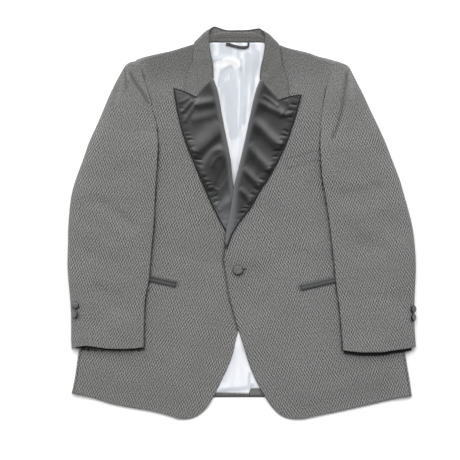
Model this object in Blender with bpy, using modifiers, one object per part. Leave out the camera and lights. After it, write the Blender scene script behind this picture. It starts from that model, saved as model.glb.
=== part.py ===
"""A grey wool dinner jacket laid flat on its back and buttoned, in metres, +Z up.

X runs towards the wearer's left, Y towards the collar, and the back rests on Z = 0.
Every panel is a sheet of cloth: a grid whose points a function places, given thickness afterwards.
All tables hold millimetres, a row per section, and are read through smooth curves.
"""

import math

import bmesh
import bpy
import numpy as np
from mathutils.bvhtree import BVHTree

NAME = "dinner_jacket"

# Cloth and spacing, in millimetres
WOOL = 1.5
FACING = 2.0
LINING = 1.0
JET = 1.2
SEAM_GAP = 0.3
SIDE_RADIUS = 4.0
SIDE_LIP = 21.0
SHOULDER_RADIUS = 8.0
NECK_RADIUS = 3.5
NECK_LIFT = 1.8
ROLL_RADIUS = 2.9
LINING_LEVEL = 2.5
CENTRE_X = -12.0
CUFF_Y = -275.0
# Moves the tables' origin to the middle of the finished box, on the floor
TO_CENTRE = (0.02, -1.87, 0.01)
SLEEVE_TOP_Y = 355.5

# Photo's left is the wearer's right, at minus X. Rows of the outline tables are x, y.
SIDE_EDGE = {
    -1: ((-375, -374), (-368, -340), (-359, -278), (-342, -168), (-317, -25), (-298, 112)),
    1: ((373, -381), (366, -333), (358, -287), (338, -168), (313, -25), (290, 112)),
}
ARMHOLE = {
    -1: ((-298, 112), (-255, 128), (-215, 146), (-194, 161), (-186, 178), (-186, 200),
         (-196, 236), (-207, 289), (-223, 331), (-232, 357)),
    1: ((290, 112), (245, 128), (204, 146), (183, 161), (174, 178), (172, 200),
        (176, 236), (184, 294), (195, 324), (208, 356)),
}
SHOULDER = {
    -1: ((-232, 357), (-203, 368), (-181, 374), (-159, 379), (-137, 385.5), (-121, 390.5), (-108.5, 393.6)),
    1: ((208, 356), (193, 360), (171, 365), (149, 371), (127, 377), (105, 384), (94, 388), (83.5, 391.8)),
}
HEM = {
    -1: ((-375, -374), (-335, -383), (-291, -396), (-247, -406), (-203, -413), (-170, -422), (-141, -430)),
    1: ((373, -381), (347, -385), (303, -394), (259, -404), (215, -414), (171, -424), (138, -430)),
}
FRONT_EDGE = {
    -1: ((-141, -430), (-126, -431), (-104, -426), (-80, -408), (-60, -375), (-45, -344), (-25, -300),
         (-14, -256), (-8, -230), (6, -168), (17, -91), (17, -60)),
    1: ((138, -430), (116, -431), (90, -426), (68, -408), (46, -376), (30, -346), (15, -311),
        (2, -267), (-10, -230), (-27, -168), (-37, -107), (-41, -80)),
}
NECK_EDGE = {
    -1: ((-79, 318), (-90, 342), (-98, 366), (-103, 382), (-108.5, 390.1)),
    1: ((54, 318), (66, 342), (74, 366), (79, 382), (83.5, 388.3)),
}
ROLL_LINE = {
    -1: ((13, -40), (-3, 19), (-19, 78), (-26, 140), (-34, 182), (-45, 239), (-56, 294), (-65, 316)),
    1: ((-38, -50), (-35, -19), (-26, 25), (-18, 78), (-5, 133), (5, 177), (18, 239), (31, 294), (39, 315)),
}
LAPEL_EDGE = {
    -1: ((6, -58), (-14, -43), (-37, -13), (-62, 34), (-82, 78), (-108, 140), (-128, 193), (-141, 243),
         (-150, 297)),
    1: ((-36, -56), (-23, -23), (-5, 6), (17, 34), (39, 73), (57, 100), (83, 148), (98, 182),
        (111, 219), (129, 282)),
}
# Peak edge down to the notch, then the gorge seam up to the roll line
LAPEL_TOP = {
    -1: (((-150, 297), (-132, 291), (-115, 284), (-101, 277)), ((-101, 277), (-89, 294), (-65, 316))),
    1: (((129, 282), (116, 281), (103, 278), (81, 271)), ((81, 271), (61, 292), (39, 315))),
}

# Rows: y, outer edge x, inner edge x (armhole seam above y = 165, free edge below)
SLEEVE = {
    -1: ((-276, -375, -217), (-250, -376, -217), (-212, -376, -216), (-168, -378, -214), (-124, -382, -206),
         (-91, -384, -203), (-47, -383, -199), (-3, -382, -195), (63, -375, -192), (96, -366, -190),
         (140, -350, -187), (182, -335, -186), (217, -319, -190), (250, -305, -199), (283, -291, -206),
         (310, -278, -215), (331, -266, -223), (346, -257, -228), (352, -250, -228.6), (357, -243, -229)),
    1: ((-279, 384, 222), (-250, 381, 220), (-212, 380, 217), (-168, 380, 212), (-124, 381, 206),
        (-91, 383, 203), (-47, 381, 198), (-3, 373, 193), (63, 357, 183), (96, 348, 177),
        (140, 331, 173), (182, 313, 172), (217, 297, 173), (250, 281, 178), (283, 266, 183),
        (310, 252, 190), (331, 240, 198), (345, 232, 203), (351, 226, 204.5), (356, 220, 205)),
}
# Rows: y, crest height, middle of the outer fold, rise of the inner edge over the front
SLEEVE_LOFT = ((-276, 22.5, 6.2, 4.2), (-150, 24, 6.8, 4.6), (0, 26, 7.6, 5.0), (110, 27, 8.4, 5.4),
               (200, 26, 8.9, 5.4), (290, 22.5, 8.9, 5.4), (330, 19.5, 8.8, 5.4), (357, 17.5, 8.75, 5.4))
# Rows: share of the way across from the outer edge, y of the cuff edge against its mean
CUFF_WAVE = {
    -1: ((0, -1), (0.1, 4), (0.2, 6), (0.35, 3), (0.5, 0), (0.7, -1), (0.85, 0), (1, 3)),
    1: ((0, 3), (0.15, -1), (0.35, -5), (0.5, -8), (0.7, -8.5), (0.85, -7), (1, -4)),
}
# How far the under sleeve shows past the cuff's top edge
UNDER_REACH = {-1: 3.0, 1: 6.0}
# Rows: y, share of the sleeve's width that the turned-under back part reaches
SLEEVE_LIP = ((-280, 0.055), (0, 0.055), (36, 0.06), (60, 0.11), (82, 0.18), (107, 0.27), (140, 0.45),
              (177, 0.62), (217, 0.76), (254, 0.85), (294, 0.90), (324, 0.93), (357, 0.93))
# Rows: share of the way across from the outer edge, y of the under sleeve's top edge
UNDER_TOP = ((0.055, 30), (0.07, 42), (0.11, 60), (0.18, 82), (0.27, 105), (0.5, 122), (0.75, 140), (1, 156))

# Rows: y, middle line x, half width of the low strip, height of the low strip, height of the chest
BODY_LOFT = ((-430, -12, 95, 2.6, 7.6), (-375, -8, 58, 4.4, 9.4), (-300, -8, 32, 4.6, 10.2),
             (-230, -9, 18, 4.6, 11), (-168, -11, 26, 4.6, 11.6), (-91, -11, 32, 4.6, 12.2),
             (-36, -11, 34, 4.8, 12.6), (30, -14, 26, 5.6, 13.2), (78, -19, 16, 6.2, 13.8),
             (140, -15, 24, 6.8, 14.6), (239, -13, 44, 7.4, 15.2), (315, -13, 66, 8.2, 15.4),
             (392, -11, 90, 9.4, 15.6))
# Rows: y, how far the left front rides above the right one where they lap
OVERLAP_LIFT = ((-345, 0.4), (-300, 1.8), (-255, 2.4), (-110, 2.4), (-80, 5.2), (85, 5.2), (150, 0.9),
                (185, 0))
# Rows: y, hidden edge of the right front
HIDDEN_EDGE = ((-345, -25), (-256, -5), (-168, 8), (-91, 19), (-41, 17), (19, 2), (78, -17), (185, -30))

# Rows: y, wearer's right edge x, wearer's left edge x
LINING_EDGE = ((-374, -300, 298), (-200, -290, 288), (0, -268, 262), (110, -235, 228), (250, -180, 160),
               (350, -150, 128), (382, -104, 76), (399, -75, 51))

# Rows: y up the unrolled strip, roll line x, fall edge x
COLLAR_STRIP = {
    -1: ((270, -55, -116), (286, -58, -115.5), (300, -61, -115), (320, -66, -113.5), (338, -69, -111),
         (362, -72, -109), (382, -73, -107.8), (392, -73, -106.8), (402, -73, -106), (500, -73, -106)),
    1: ((270, 33, 105), (286, 35, 101), (300, 37, 98), (320, 42, 94), (338, 45, 90), (362, 48, 87),
        (380, 49, 84), (388, 49.5, 82), (398, 50, 81), (500, 50, 81)),
}
# Distance out plus distance up at which the collar turns over the end of the shoulder
MITRE_SUM = {-1: 502.5, 1: 475.0}
MITRE_RADIUS = 5.4
# Rows: x, y of the collar's top edge behind the neck
COLLAR_TOP = ((-78, 430), (-64, 430.5), (-45, 427), (-10, 423.8), (20, 424.3), (42, 426.5), (60, 426))
STAND_INNER = ((-66, 322), (-73, 350), (-77, 380), (-76.5, 394), (-66, 400), (-40, 399.5), (-12, 399.5),
               (20, 399.5), (42, 400), (53, 394), (53.5, 380), (50, 350), (43, 322))
STAND_OUTER = ((-73, 322), (-87, 350), (-93, 380), (-86, 399), (-68, 414), (-40, 421.5), (-12, 420.8),
               (20, 420.8), (42, 414), (60, 399), (70, 380), (66, 350), (50, 322))

SIDES = {-1: "right", 1: "left"}
POCKETS = {-1: ((-146, -134), (-292, -101)), 1: ((129, -141), (275, -107))}
WELT = ((94, 141), (167, 161))
# Rows: name, y, place round the sleeve as an angle, lean past the cloth's own, rise off the cloth
CUFF_BUTTONS = (
    ("cuff_button_right_1", -180, 0.62, 0.0, 0.6),
    ("cuff_button_right_2", -200.5, 0.62, 0.5, 3.1),
    ("cuff_button_left_1", -188, 0.34, 0.22, 0.7),
    ("cuff_button_left_2", -206.5, 0.34, 0.22, 0.7),
)
# Rows: share of the radius, share of the height
BUTTON_RINGS = ((0.80, 0.0), (0.97, 0.16), (1.0, 0.42), (0.93, 0.68), (0.72, 0.88), (0.4, 0.98))
HANGER = ((-30, 396), (-23, 393.5), (-12, 390), (-2, 388.3), (8, 389), (13, 392.5), (14.5, 397))
FRONT_COLUMNS = (0, 0.02, 0.06, 0.13, 0.21, 0.3, 0.4, 0.5, 0.6, 0.7, 0.79, 0.87, 0.94, 1)
LAPEL_COLUMNS = (0, 0.1, 0.22, 0.36, 0.5, 0.64, 0.78, 0.9, 1, 1.25, 1.5, 1.75, 2)
COLLAR_COLUMNS = (0, 0.05, 0.2, 0.45, 0.7, 1)
COLLAR_ROWS = (0, 0.08, 0.15, 0.2, 0.226, 0.242, 0.258, 0.274, 0.29, 0.306, 0.322, 0.338, 0.36, 0.41,
               0.47, 0.53, 0.6, 0.68, 0.76, 0.84, 0.92, 1)
LINING_COLUMNS = (0, 0.1, 0.2, 0.3, 0.4, 0.46, 0.5, 0.515, 0.527, 0.535, 0.55, 0.6, 0.7, 0.8, 0.9, 1)
SLEEVE_ROWS = (CUFF_Y, -262, -225, -180, -130, -80, -30, 15, 45, 70, 95, 125, 155, 180, 210, 245, 280,
               308, 330, 343, 350, 353.5, SLEEVE_TOP_Y)

COLOURS = {
    "wool": (0.200, 0.200, 0.194, 1.0),
    "satin": (0.045, 0.046, 0.047, 1.0),
    "lining": (0.78, 0.80, 0.83, 1.0),
    "tape": (0.030, 0.028, 0.030, 1.0),
}
ROUGHNESS = {"wool": 0.9, "satin": 0.35, "lining": 0.45, "tape": 0.7}


def curve(rows, smooth=16):
    """Dense points along a smooth line through the rows."""
    p = np.array(rows, float)
    p = np.vstack([2 * p[0] - p[1], p, 2 * p[-1] - p[-2]])
    out = []
    for k in range(1, len(p) - 2):
        gaps = [math.sqrt(max(np.linalg.norm(p[k + n] - p[k + n - 1]), 1e-9)) for n in range(3)]
        t0, t1, t2, t3 = np.cumsum([0.0] + gaps)
        for t in np.linspace(t1, t2, smooth, endpoint=False):
            a = p[k - 1] + (p[k] - p[k - 1]) * (t - t0) / (t1 - t0)
            b = p[k] + (p[k + 1] - p[k]) * (t - t1) / (t2 - t1)
            c = p[k + 1] + (p[k + 2] - p[k + 1]) * (t - t2) / (t3 - t2)
            d = a + (b - a) * (t - t0) / (t2 - t0)
            e = b + (c - b) * (t - t1) / (t3 - t1)
            out.append(d + (e - d) * (t - t1) / (t2 - t1))
    out.append(p[-2])
    return np.array(out)


def by_length(rows, dense=False):
    """A function from 0..1 along the line to the point there."""
    points = np.array(rows, float) if dense else curve(rows)
    steps = np.linalg.norm(np.diff(points[:, :2], axis=0), axis=1)
    reach = np.concatenate([[0], np.cumsum(steps)])
    reach /= reach[-1]
    return lambda s: np.array([np.interp(s, reach, points[:, n]) for n in range(points.shape[1])])


def by_height(rows, key=0):
    """A function from the key column to the row of the other columns."""
    points = curve(rows)
    points = points[np.argsort(points[:, key], kind="stable")]
    others = [n for n in range(points.shape[1]) if n != key]
    return lambda y: [float(np.interp(y, points[:, key], points[:, n])) for n in others]


def metres(x, y, z):
    """A point of the tables, in metres from the object's origin."""
    return (x + TO_CENTRE[0]) / 1000, (y + TO_CENTRE[1]) / 1000, (z + TO_CENTRE[2]) / 1000


def ease(t):
    t = min(max(t, 0.0), 1.0)
    return t * t * (3 - 2 * t)


def mix(a, b, t):
    return a + (b - a) * t


side_x = {s: by_height(SIDE_EDGE[s], 1) for s in (-1, 1)}
shoulder_line = {s: by_length(SHOULDER[s]) for s in (-1, 1)}
body_loft = by_height(BODY_LOFT)
overlap_lift = by_height(OVERLAP_LIFT)
hidden_edge = by_height(HIDDEN_EDGE)
sleeve_edges = {s: by_height(SLEEVE[s]) for s in (-1, 1)}
sleeve_loft = by_height(SLEEVE_LOFT)
sleeve_lip = by_height(SLEEVE_LIP)
under_top = by_height(UNDER_TOP)
cuff_wave = {s: by_height(CUFF_WAVE[s]) for s in (-1, 1)}
collar_top = by_height(COLLAR_TOP)
roll_line = {s: by_length(ROLL_LINE[s]) for s in (-1, 1)}
strip_edges = {s: by_height(COLLAR_STRIP[s]) for s in (-1, 1)}
surface = {}


def shoulder_radius(share):
    """Radius of the shoulder fold, from the tip (0) to the neck (1), and its lift off the floor."""
    return mix(SHOULDER_RADIUS, NECK_RADIUS, ease(share)), NECK_LIFT * ease((share - 0.55) / 0.4)


def shoulder_share(side, x):
    tip, neck = SHOULDER[side][0][0], SHOULDER[side][-1][0]
    return min(max((x - tip) / (neck - tip), 0.0), 1.0)


def side_edge_x(side, y):
    """The body's side edge, carried on straight above the armpit."""
    if y > 112:
        return SIDE_EDGE[side][-1][0] - 0.15 * side * (y - 112)
    return side_x[side](y)[0]


def front_height(side, x, y):
    """Middle of the front's cloth above the floor."""
    middle, half, low, high = body_loft(y)
    radius, lift = shoulder_radius(shoulder_share(side, x))
    at_shoulder = WOOL / 2 + lift + 2 * radius
    high = mix(high, at_shoulder, ease((y - 270) / 100))
    low = mix(low, at_shoulder, ease((y - 330) / 50))
    z = mix(low, high, ease((abs(x - middle) - half) / 95))
    inside = side * (side_edge_x(side, y) - x)
    at_side = WOOL / 2 + 2 * SIDE_RADIUS
    blend = ease((inside - SIDE_RADIUS) / 70)
    z = mix(at_side, z, mix(blend, 1.0, ease((y - 90) / 60)))
    if side > 0:
        z += overlap_lift(y)[0] * (1 - ease((x - hidden_edge(y)[0] - 6) / 60))
    return z


def top_of(side, x, y, spread=5.0):
    """Top of the front's finished cloth round a point, so that what lies on it clears every facet."""
    best = front_height(side, x, y) + WOOL / 2
    for dx, dy in ((0, 0), (spread, 0), (-spread, 0), (0, spread), (0, -spread)):
        hit = surface[side].ray_cast(metres(x + dx, y + dy, 200), (0, 0, -1))[0]
        if hit is not None:
            best = max(best, hit.z * 1000 - TO_CENTRE[2])
    return best


def lapel_top(side):
    """The lapel's top edge with its notch half way along."""
    peak, gorge = by_length(LAPEL_TOP[side][0]), by_length(LAPEL_TOP[side][1])
    return lambda u: peak(2 * u) if u <= 0.5 else gorge(2 * u - 1)


def coons(left, right, bottom, top):
    """A patch between four lines that share their corners; left and right run with v."""
    corners = left(0), right(0), left(1), right(1)

    def place(u, v):
        across = (1 - u) * left(v) + u * right(v)
        along = (1 - v) * bottom(u) + v * top(u)
        twist = (1 - u) * (1 - v) * corners[0] + u * (1 - v) * corners[1]
        twist = twist + (1 - u) * v * corners[2] + u * v * corners[3]
        return across + along - twist

    return place


def roll_frame(side, v):
    """Point of the roll line, the unit step away from the neck opening, and the radius of the roll."""
    point = roll_line[side](v)
    along = roll_line[side](min(v + 0.02, 1)) - roll_line[side](max(v - 0.02, 0))
    along /= np.linalg.norm(along)
    away = np.array([side * along[1], -side * along[0]])
    return point, away, mix(1.5, ROLL_RADIUS, ease((point[1] - 74) / 90))


def front_edge_line(side):
    """The front edge from the hem to the neck, set back inside the roll of the lapel."""
    rows = [tuple(p) for p in curve(FRONT_EDGE[side])]
    for v in np.linspace(0, 1, 40):
        point, away, radius = roll_frame(side, v)
        rows.append(tuple(point + away * (radius + 1.4)))
    rows += [tuple(p) for p in curve(NECK_EDGE[side])[4:]]
    return by_length(rows, dense=True)


def front_place(side):
    """Front panel: u from the side to the front edge, v from the hem, and 1..2 turns the shoulder under."""
    inset = SIDE_RADIUS + 0.5
    outer = [(side_edge_x(side, y) - side * inset, y) for y in np.linspace(SIDE_EDGE[side][0][1], 104, 60)]
    arm = [tuple(p) for p in curve([(x - side * 1.0, y) for x, y in ARMHOLE[side][1:]])]
    left = by_length(outer + [p for p in arm if p[1] < ARMHOLE[side][-1][1] - SHOULDER_RADIUS], dense=True)
    right = front_edge_line(side)
    hem = by_length([outer[0]] + list(HEM[side][1:]))
    tip, neck = left(1), right(1)
    shoulder = shoulder_line[side]

    def top(u):
        point = shoulder(u) - np.array([0, shoulder_radius(u)[0]])
        start = shoulder(0) - np.array([0, SHOULDER_RADIUS])
        end = shoulder(1) - np.array([0, NECK_RADIUS])
        return point + (tip - start) * (1 - u) + (neck - end) * u

    patch = coons(left, right, hem, top)

    def place(u, v):
        point = patch(u, min(v, 1.0))
        radius, lift = shoulder_radius(shoulder_share(side, top(u)[0]))
        x, y = point
        if v > 1:
            angle = math.pi * (v - 1.0)
            z = WOOL / 2 + lift + radius * (1 + math.cos(angle))
            return x, y + radius * math.sin(angle), z
        return x, y, front_height(side, x, y)

    return place


def side_place(side):
    """Side body: u 0..1 round the fold from the top, 1..2 along the turned-under lip; v from the hem."""
    start = SEAM_GAP / SIDE_RADIUS
    first, last = SIDE_EDGE[side][0][1], SIDE_EDGE[side][-1][1]

    def place(u, v):
        y = mix(first, last, v)
        angle = mix(start, math.pi, min(u, 1.0))
        inset = SIDE_RADIUS * (1 - math.sin(angle)) + SIDE_LIP * max(u - 1.0, 0.0)
        return side_edge_x(side, y) - side * inset, y, WOOL / 2 + SIDE_RADIUS * (1 + math.cos(angle))

    return place


RING_POWER = 2.7


def ring(angle):
    """Across (-1 inner to 1 outer) and up (0 to 1) shares of a flattened round at an angle."""
    c = math.copysign(abs(math.cos(angle)) ** (2 / RING_POWER), math.cos(angle))
    return c, abs(math.sin(angle)) ** (2 / RING_POWER)


def ring_angle(c):
    return math.acos(math.copysign(abs(c) ** (RING_POWER / 2), c))


def rise_angle(height, whole):
    """Angle at which the ring has risen by this height."""
    return math.asin(min(height / max(whole, 1.0), 1.0) ** (RING_POWER / 2))


def sleeve_at(side, y):
    """Outline and heights of one sleeve section."""
    outer, inner = sleeve_edges[side](y)
    crest, fold, rise = sleeve_loft(y)
    over = front_height(side, inner, y)
    proud = 1 - ease((y - 150) / 55)
    inner_z = over + (WOOL + 1.0 + rise) * proud
    inner += side * 0.7 * (1 - proud)
    return outer, inner, max(crest, inner_z + mix(3.0, 1.6, ease((y - 190) / 60))), fold, inner_z


def pocket_lift(side, x, y):
    """Room left under the sleeve for the pocket's jets."""
    (ax, ay), (bx, by) = POCKETS[side]
    share = (x - ax) / (bx - ax)
    near = 1 - ease((abs(y - mix(ay, by, share)) - 14) / 20)
    return (JET + 0.9) * near * (1 - ease((share - 1.1) / 0.2))


def rest_height(side, x, y):
    """Height on which the under sleeve rests: the front, or the floor outside the side fold."""
    edge = side_edge_x(side, y)
    outside = side * (x - edge)
    inside_x = side * min(side * x, side * edge - SIDE_RADIUS)
    body = front_height(side, inside_x, y) + WOOL / 2 + 1.0 + pocket_lift(side, inside_x, y)
    body += 0.9 * math.exp(-((outside - 2) / 16) ** 2)
    return body * (1 - ease((outside - 3) / 30))


def sleeve_point(side, y, angle, lip=False):
    """A point of the sleeve's ring; angle 0 is the outer fold, pi the inner edge, below 0 the underside."""
    outer, inner, crest, fold, inner_z = sleeve_at(side, y)
    c, s = ring(angle)
    x = (outer + inner) / 2 + (outer - inner) / 2 * c
    if angle >= 0:
        if c < 0:
            s = mix(s, 1 - abs(c) ** 1.9, ease((y - 160) / 60))
        z = mix(fold if c > 0 else inner_z, crest, s)
    else:
        bed = rest_height(side, x, y)
        if lip:
            bed *= 1 - ease((y - 112) / 26)
            s = 1.0 if c < 0 else s
        z = mix(fold if c > 0 else inner_z, WOOL / 2 + bed, s)
    depth = min(max((SLEEVE_TOP_Y + 3 - y) / SHOULDER_RADIUS, 0.0), 1.0)
    squeeze = max(math.sqrt(1 - (1 - depth) ** 2), 0.16)
    z = 8.75 + (z - 8.75) * squeeze if y > 330 else z
    near_cuff = math.exp(-(y - CUFF_Y) / 45)
    return x, y + cuff_wave[side]((outer - x) / (outer - inner))[0] * near_cuff, z


def top_sleeve_place(side):
    """Top sleeve: u 0..1 from the inner edge over to the outer fold, 1..2 turned under to its back seam."""

    def place(u, y):
        _, _, crest, _, inner_z = sleeve_at(side, y)
        if u <= 1:
            start = rise_angle(0.85, crest - inner_z)
            return sleeve_point(side, y, mix(math.pi - start, 0.0, u), lip=True)
        end = -ring_angle(1 - 2 * (sleeve_lip(y)[0] - 0.008))
        return sleeve_point(side, y, end * (u - 1) - 1e-6, lip=True)

    return place


def under_sleeve_place(side):
    """Under sleeve: u from its back seam under to the inner edge, v from the cuff to the top edge."""

    def place(u, v):
        _, _, _, _, inner_z = sleeve_at(side, -100)
        first = ring_angle(1 - 2 * (UNDER_TOP[0][0] + 0.004))
        last = math.pi - rise_angle(1.15, 4.0)
        angle = -mix(first, last, u)
        top = under_top((1 - ring(angle)[0]) / 2)[0] - 2.5
        return sleeve_point(side, mix(CUFF_Y - UNDER_REACH[side], top, v), angle)

    return place


def back_arm_x(side, y):
    outer, inner = sleeve_edges[side](y)
    return mix(outer, inner, sleeve_lip(y)[0]) - side * 3.0


def back_place(side):
    """Half of the back: u from the side to the centre seam, v from the hem to the shoulder."""
    inset = SIDE_RADIUS + SIDE_LIP + 0.5
    seam = CENTRE_X + side * SEAM_GAP / 2
    outer = [(side_edge_x(side, y) - side * inset, y) for y in np.linspace(SIDE_EDGE[side][0][1] - 1, 95, 30)]
    arm = [(back_arm_x(side, y), y) for y in np.linspace(150, 341, 24)]
    arm[0] = (arm[0][0] - side * 3, arm[0][1])
    left = by_length(outer + arm, dense=True)
    right = by_length(((seam, -382), (seam, 0), (seam, 403)))
    hem = by_length((outer[0], (mix(outer[0][0], seam, 0.5), -382), (seam, -382)))
    under = []
    for share in (0.25, 0.5, 0.75, 0.9):
        point = shoulder_line[side](share)
        under.append((point[0], point[1] - shoulder_radius(share)[0] - 3.4))
    neck_x = mix(under[-1][0], seam, 0.35)
    top = by_length([tuple(left(1))] + under + [(neck_x, 391.5), (mix(neck_x, seam, 0.4), 401.5), (seam, 403)])
    patch = coons(left, right, hem, top)

    def place(u, v):
        x, y = patch(u, v)
        near_neck = ease((y - 366) / 16) * ease((118 - abs(x - CENTRE_X)) / 20)
        return x, y, WOOL / 2 + (NECK_LIFT + 0.05) * near_neck

    return place


lining_edges = by_height(LINING_EDGE)


def lining_place(u, v):
    """Back lining with its centre pleat: u from the wearer's right, v from the hem to the neck."""
    y = mix(-374, 398.5, v)
    left, right = lining_edges(y)
    x = mix(left, right, u)
    step = ease((x - 15) / 4)
    y += mix(1.0 - 0.035 * (x + 60) * (x < 15), 10, step) * max(1 - v * 8, 0)
    raised = (NECK_LIFT + 0.1) * ease((y - 325) / 40)
    pleat = mix(1.2, 0.25, ease((y + 290) / 40)) * math.exp(-((x - 18) / 8) ** 2)
    return x, y, LINING_LEVEL + raised + pleat


def lapel_place(side):
    """Lapel: u from the stitched edge to the roll line, 1..2 turns under; v from the break to the peak."""
    outer = by_length(LAPEL_EDGE[side])
    bottom = by_length((LAPEL_EDGE[side][0], ROLL_LINE[side][0]))
    patch = coons(outer, roll_line[side], bottom, lapel_top(side))

    def place(u, v):
        point, away, radius = roll_frame(side, v)
        foot = point + away * radius
        low = front_height(side, *foot) + (FACING - WOOL) / 2
        if u > 1:
            angle = math.pi * (u - 1)
            x, y = point + away * radius * (1 - math.sin(angle))
            return x, y, low + radius * (1 + math.cos(angle))
        x, y = patch(u, v)
        distance = np.linalg.norm(point - outer(v)) * (1 - u)
        x += away[0] * radius * ease(1 - distance / 14)
        y += away[1] * radius * ease(1 - distance / 14)
        flat = top_of(side, x, y) + 0.75 + FACING / 2
        at_roll = low + 2 * radius
        return x, y, mix(flat, max(at_roll, flat) if distance > 6 else at_roll, 1 - ease(distance / 34))

    return place


def collar_place(u, v):
    """Collar fall: u from the roll line to the fall edge, v from -1 (right end) round the neck to 1."""
    side = 1 if v > 0 else -1
    roll_x = side * strip_edges[side](500)[0]
    r = MITRE_RADIUS
    corner = MITRE_SUM[side]
    top = corner - side * CENTRE_X + 0.807 * r
    peak, gorge = by_length(LAPEL_TOP[side][0]), by_length(LAPEL_TOP[side][1])
    corner_share = 0.34 if side > 0 else 0.26
    if u <= 0.7:
        foot = gorge(1 - u / 0.7)
    else:
        foot = peak(1 - (u - 0.7) / 0.3 * corner_share * 2)
    end_x, end = foot[0], foot[1] + mix(2.3, 1.3, ease(u / 0.3))
    level = mix(top, end, abs(v))
    slant = ease(abs(v) / 0.2) * (1 - ease((abs(v) - 0.42) / 0.34))
    roll = strip_edges[side](min(level, 499))[0]
    fall = strip_edges[side](min(level - 31 * slant, 499))[1]
    x = side * mix(mix(roll, fall, u), end_x, ease((abs(v) - 0.6) / 0.4))
    y = level - abs(fall - roll) * u * slant
    away = abs(fall - roll) * u
    under = ((x + y) - (corner - r * math.sqrt(2))) / math.sqrt(2)
    bend = 0.8 * ROLL_RADIUS * (1 - math.sqrt(1 - (1 - min(away / ROLL_RADIUS, 1.0)) ** 2))
    if under <= 0:
        lowest = top_of(side, side * x, min(y, 380), 4.0) if y < 384 else WOOL + 2 * r - 2.0
        z = mix(max(lowest, 9.0) + 0.6 + WOOL / 2, WOOL / 2 + 2 * r, ease((under + 34) / 34))
        return side * x, y, z - bend
    turned = min(under / (math.pi * r), 1.0)
    out = (r * math.sin(math.pi * turned) - max(under - math.pi * r, 0.0) - under) / math.sqrt(2)
    z = WOOL / 2 + r * (1 + math.cos(math.pi * turned)) + bend * mix(-1, 1, turned)
    out -= 3.2 * max(1 - away / 13, 0) ** 1.5 * math.sin(math.pi * turned)
    x, y = x + out, y + out
    level_top = corner - roll_x + 0.807 * r
    settle = ease((under - 0.5 * math.pi * r) / 32)
    return side * x, y + (collar_top(side * x)[0] - level_top) * settle, z


stand_inner = by_length(STAND_INNER)
stand_outer = by_length(STAND_OUTER)


def stand_place(u, v):
    """Collar stand: u across from the neck edge to the fold, v round the neck from the right end."""
    x, y = mix(stand_inner(v), stand_outer(v), u)
    side = 1 if x > CENTRE_X else -1
    tail = ease((abs(x - CENTRE_X) - 54) / 24) * ease((424 - y) / 26)
    at_back = 5.4 + 1.6 * u - 1.4 * max((u - 0.85) / 0.15, 0) ** 2
    at_side = front_height(side, side * 66 + CENTRE_X, min(y, 385)) - 0.3
    return x, y, mix(at_back, at_side, tail)


def sheet(name, columns, rows, place, thickness, colour):
    """A grid with its points placed, thickened into one closed piece of cloth."""
    mesh = bpy.data.meshes.new(name)
    bm = bmesh.new()
    across, along = len(columns) - 1, len(rows) - 1
    bmesh.ops.create_grid(bm, x_segments=across, y_segments=along, size=1.0)
    for vert in bm.verts:
        i = round((vert.co.x + 1) / 2 * across)
        j = round((vert.co.y + 1) / 2 * along)
        vert.co = metres(*place(columns[i], rows[j]))
    bmesh.ops.recalc_face_normals(bm, faces=bm.faces)
    bm.to_mesh(mesh)
    bm.free()
    piece = bpy.data.objects.new(name, mesh)
    collection.objects.link(piece)
    solid = piece.modifiers.new("thickness", "SOLIDIFY")
    solid.thickness = thickness / 1000
    solid.offset = 0.0
    solid.use_even_offset = True
    solid.use_rim = True
    paint(piece, colour)
    return piece


def paint(piece, colour):
    material = bpy.data.materials.new(piece.name)
    material.use_nodes = True
    shader = material.node_tree.nodes["Principled BSDF"]
    shader.inputs["Base Color"].default_value = COLOURS[colour]
    shader.inputs["Roughness"].default_value = ROUGHNESS[colour]
    material.diffuse_color = COLOURS[colour]
    piece.data.materials.append(material)


def steps(start, stop, count):
    return [float(t) for t in np.linspace(start, stop, count + 1)]


def button(name, x, y, z, diameter, height, tilt, colour):
    """A covered button: a disc with a domed top, made by shaping the rings of a cylinder."""
    radius = diameter / 2
    bm = bmesh.new()
    bmesh.ops.create_cone(bm, cap_ends=True, cap_tris=True, segments=16, radius1=radius, radius2=radius,
                          depth=height)
    uprights = [e for e in bm.edges if abs(e.verts[0].co.z - e.verts[1].co.z) > height / 2]
    bmesh.ops.subdivide_edges(bm, edges=uprights, cuts=len(BUTTON_RINGS) - 2, use_grid_fill=True)
    for vert in bm.verts:
        flat = math.hypot(vert.co.x, vert.co.y)
        share = vert.co.z / height + 0.5
        if flat < radius * 0.01:
            vert.co.z = height * (0.0 if share < 0.5 else 1.0)
            continue
        ring_radius, level = BUTTON_RINGS[round(share * (len(BUTTON_RINGS) - 1))]
        scale = radius * ring_radius / flat
        vert.co = (vert.co.x * scale, vert.co.y * scale, height * level)
    turn, lean = math.cos(tilt), math.sin(tilt)
    for vert in bm.verts:
        px, py, pz = vert.co
        vert.co = metres(x + px * turn + pz * lean, y + py, z - px * lean + pz * turn)
    bmesh.ops.recalc_face_normals(bm, faces=bm.faces)
    mesh = bpy.data.meshes.new(name)
    bm.to_mesh(mesh)
    bm.free()
    piece = bpy.data.objects.new(name, mesh)
    collection.objects.link(piece)
    paint(piece, colour)
    return piece


def on_front_place(side, start, end, low, high, lift):
    """A strip on a front between two points, from low to high across, raised off the cloth."""
    ax, ay, bx, by = *start, *end
    length = math.hypot(bx - ax, by - ay)
    nx, ny = -(by - ay) / length * side, (bx - ax) / length * side

    def place(u, v):
        offset = mix(low, high, u)
        x = mix(ax, bx, v) + nx * offset
        y = mix(ay, by, v) + ny * offset
        return x, y, top_of(side, x, y, 8.0) + lift

    return place


for old in list(bpy.data.objects):
    bpy.data.objects.remove(old, do_unlink=True)
collection = bpy.data.collections.new(NAME)
bpy.context.scene.collection.children.link(collection)

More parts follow.
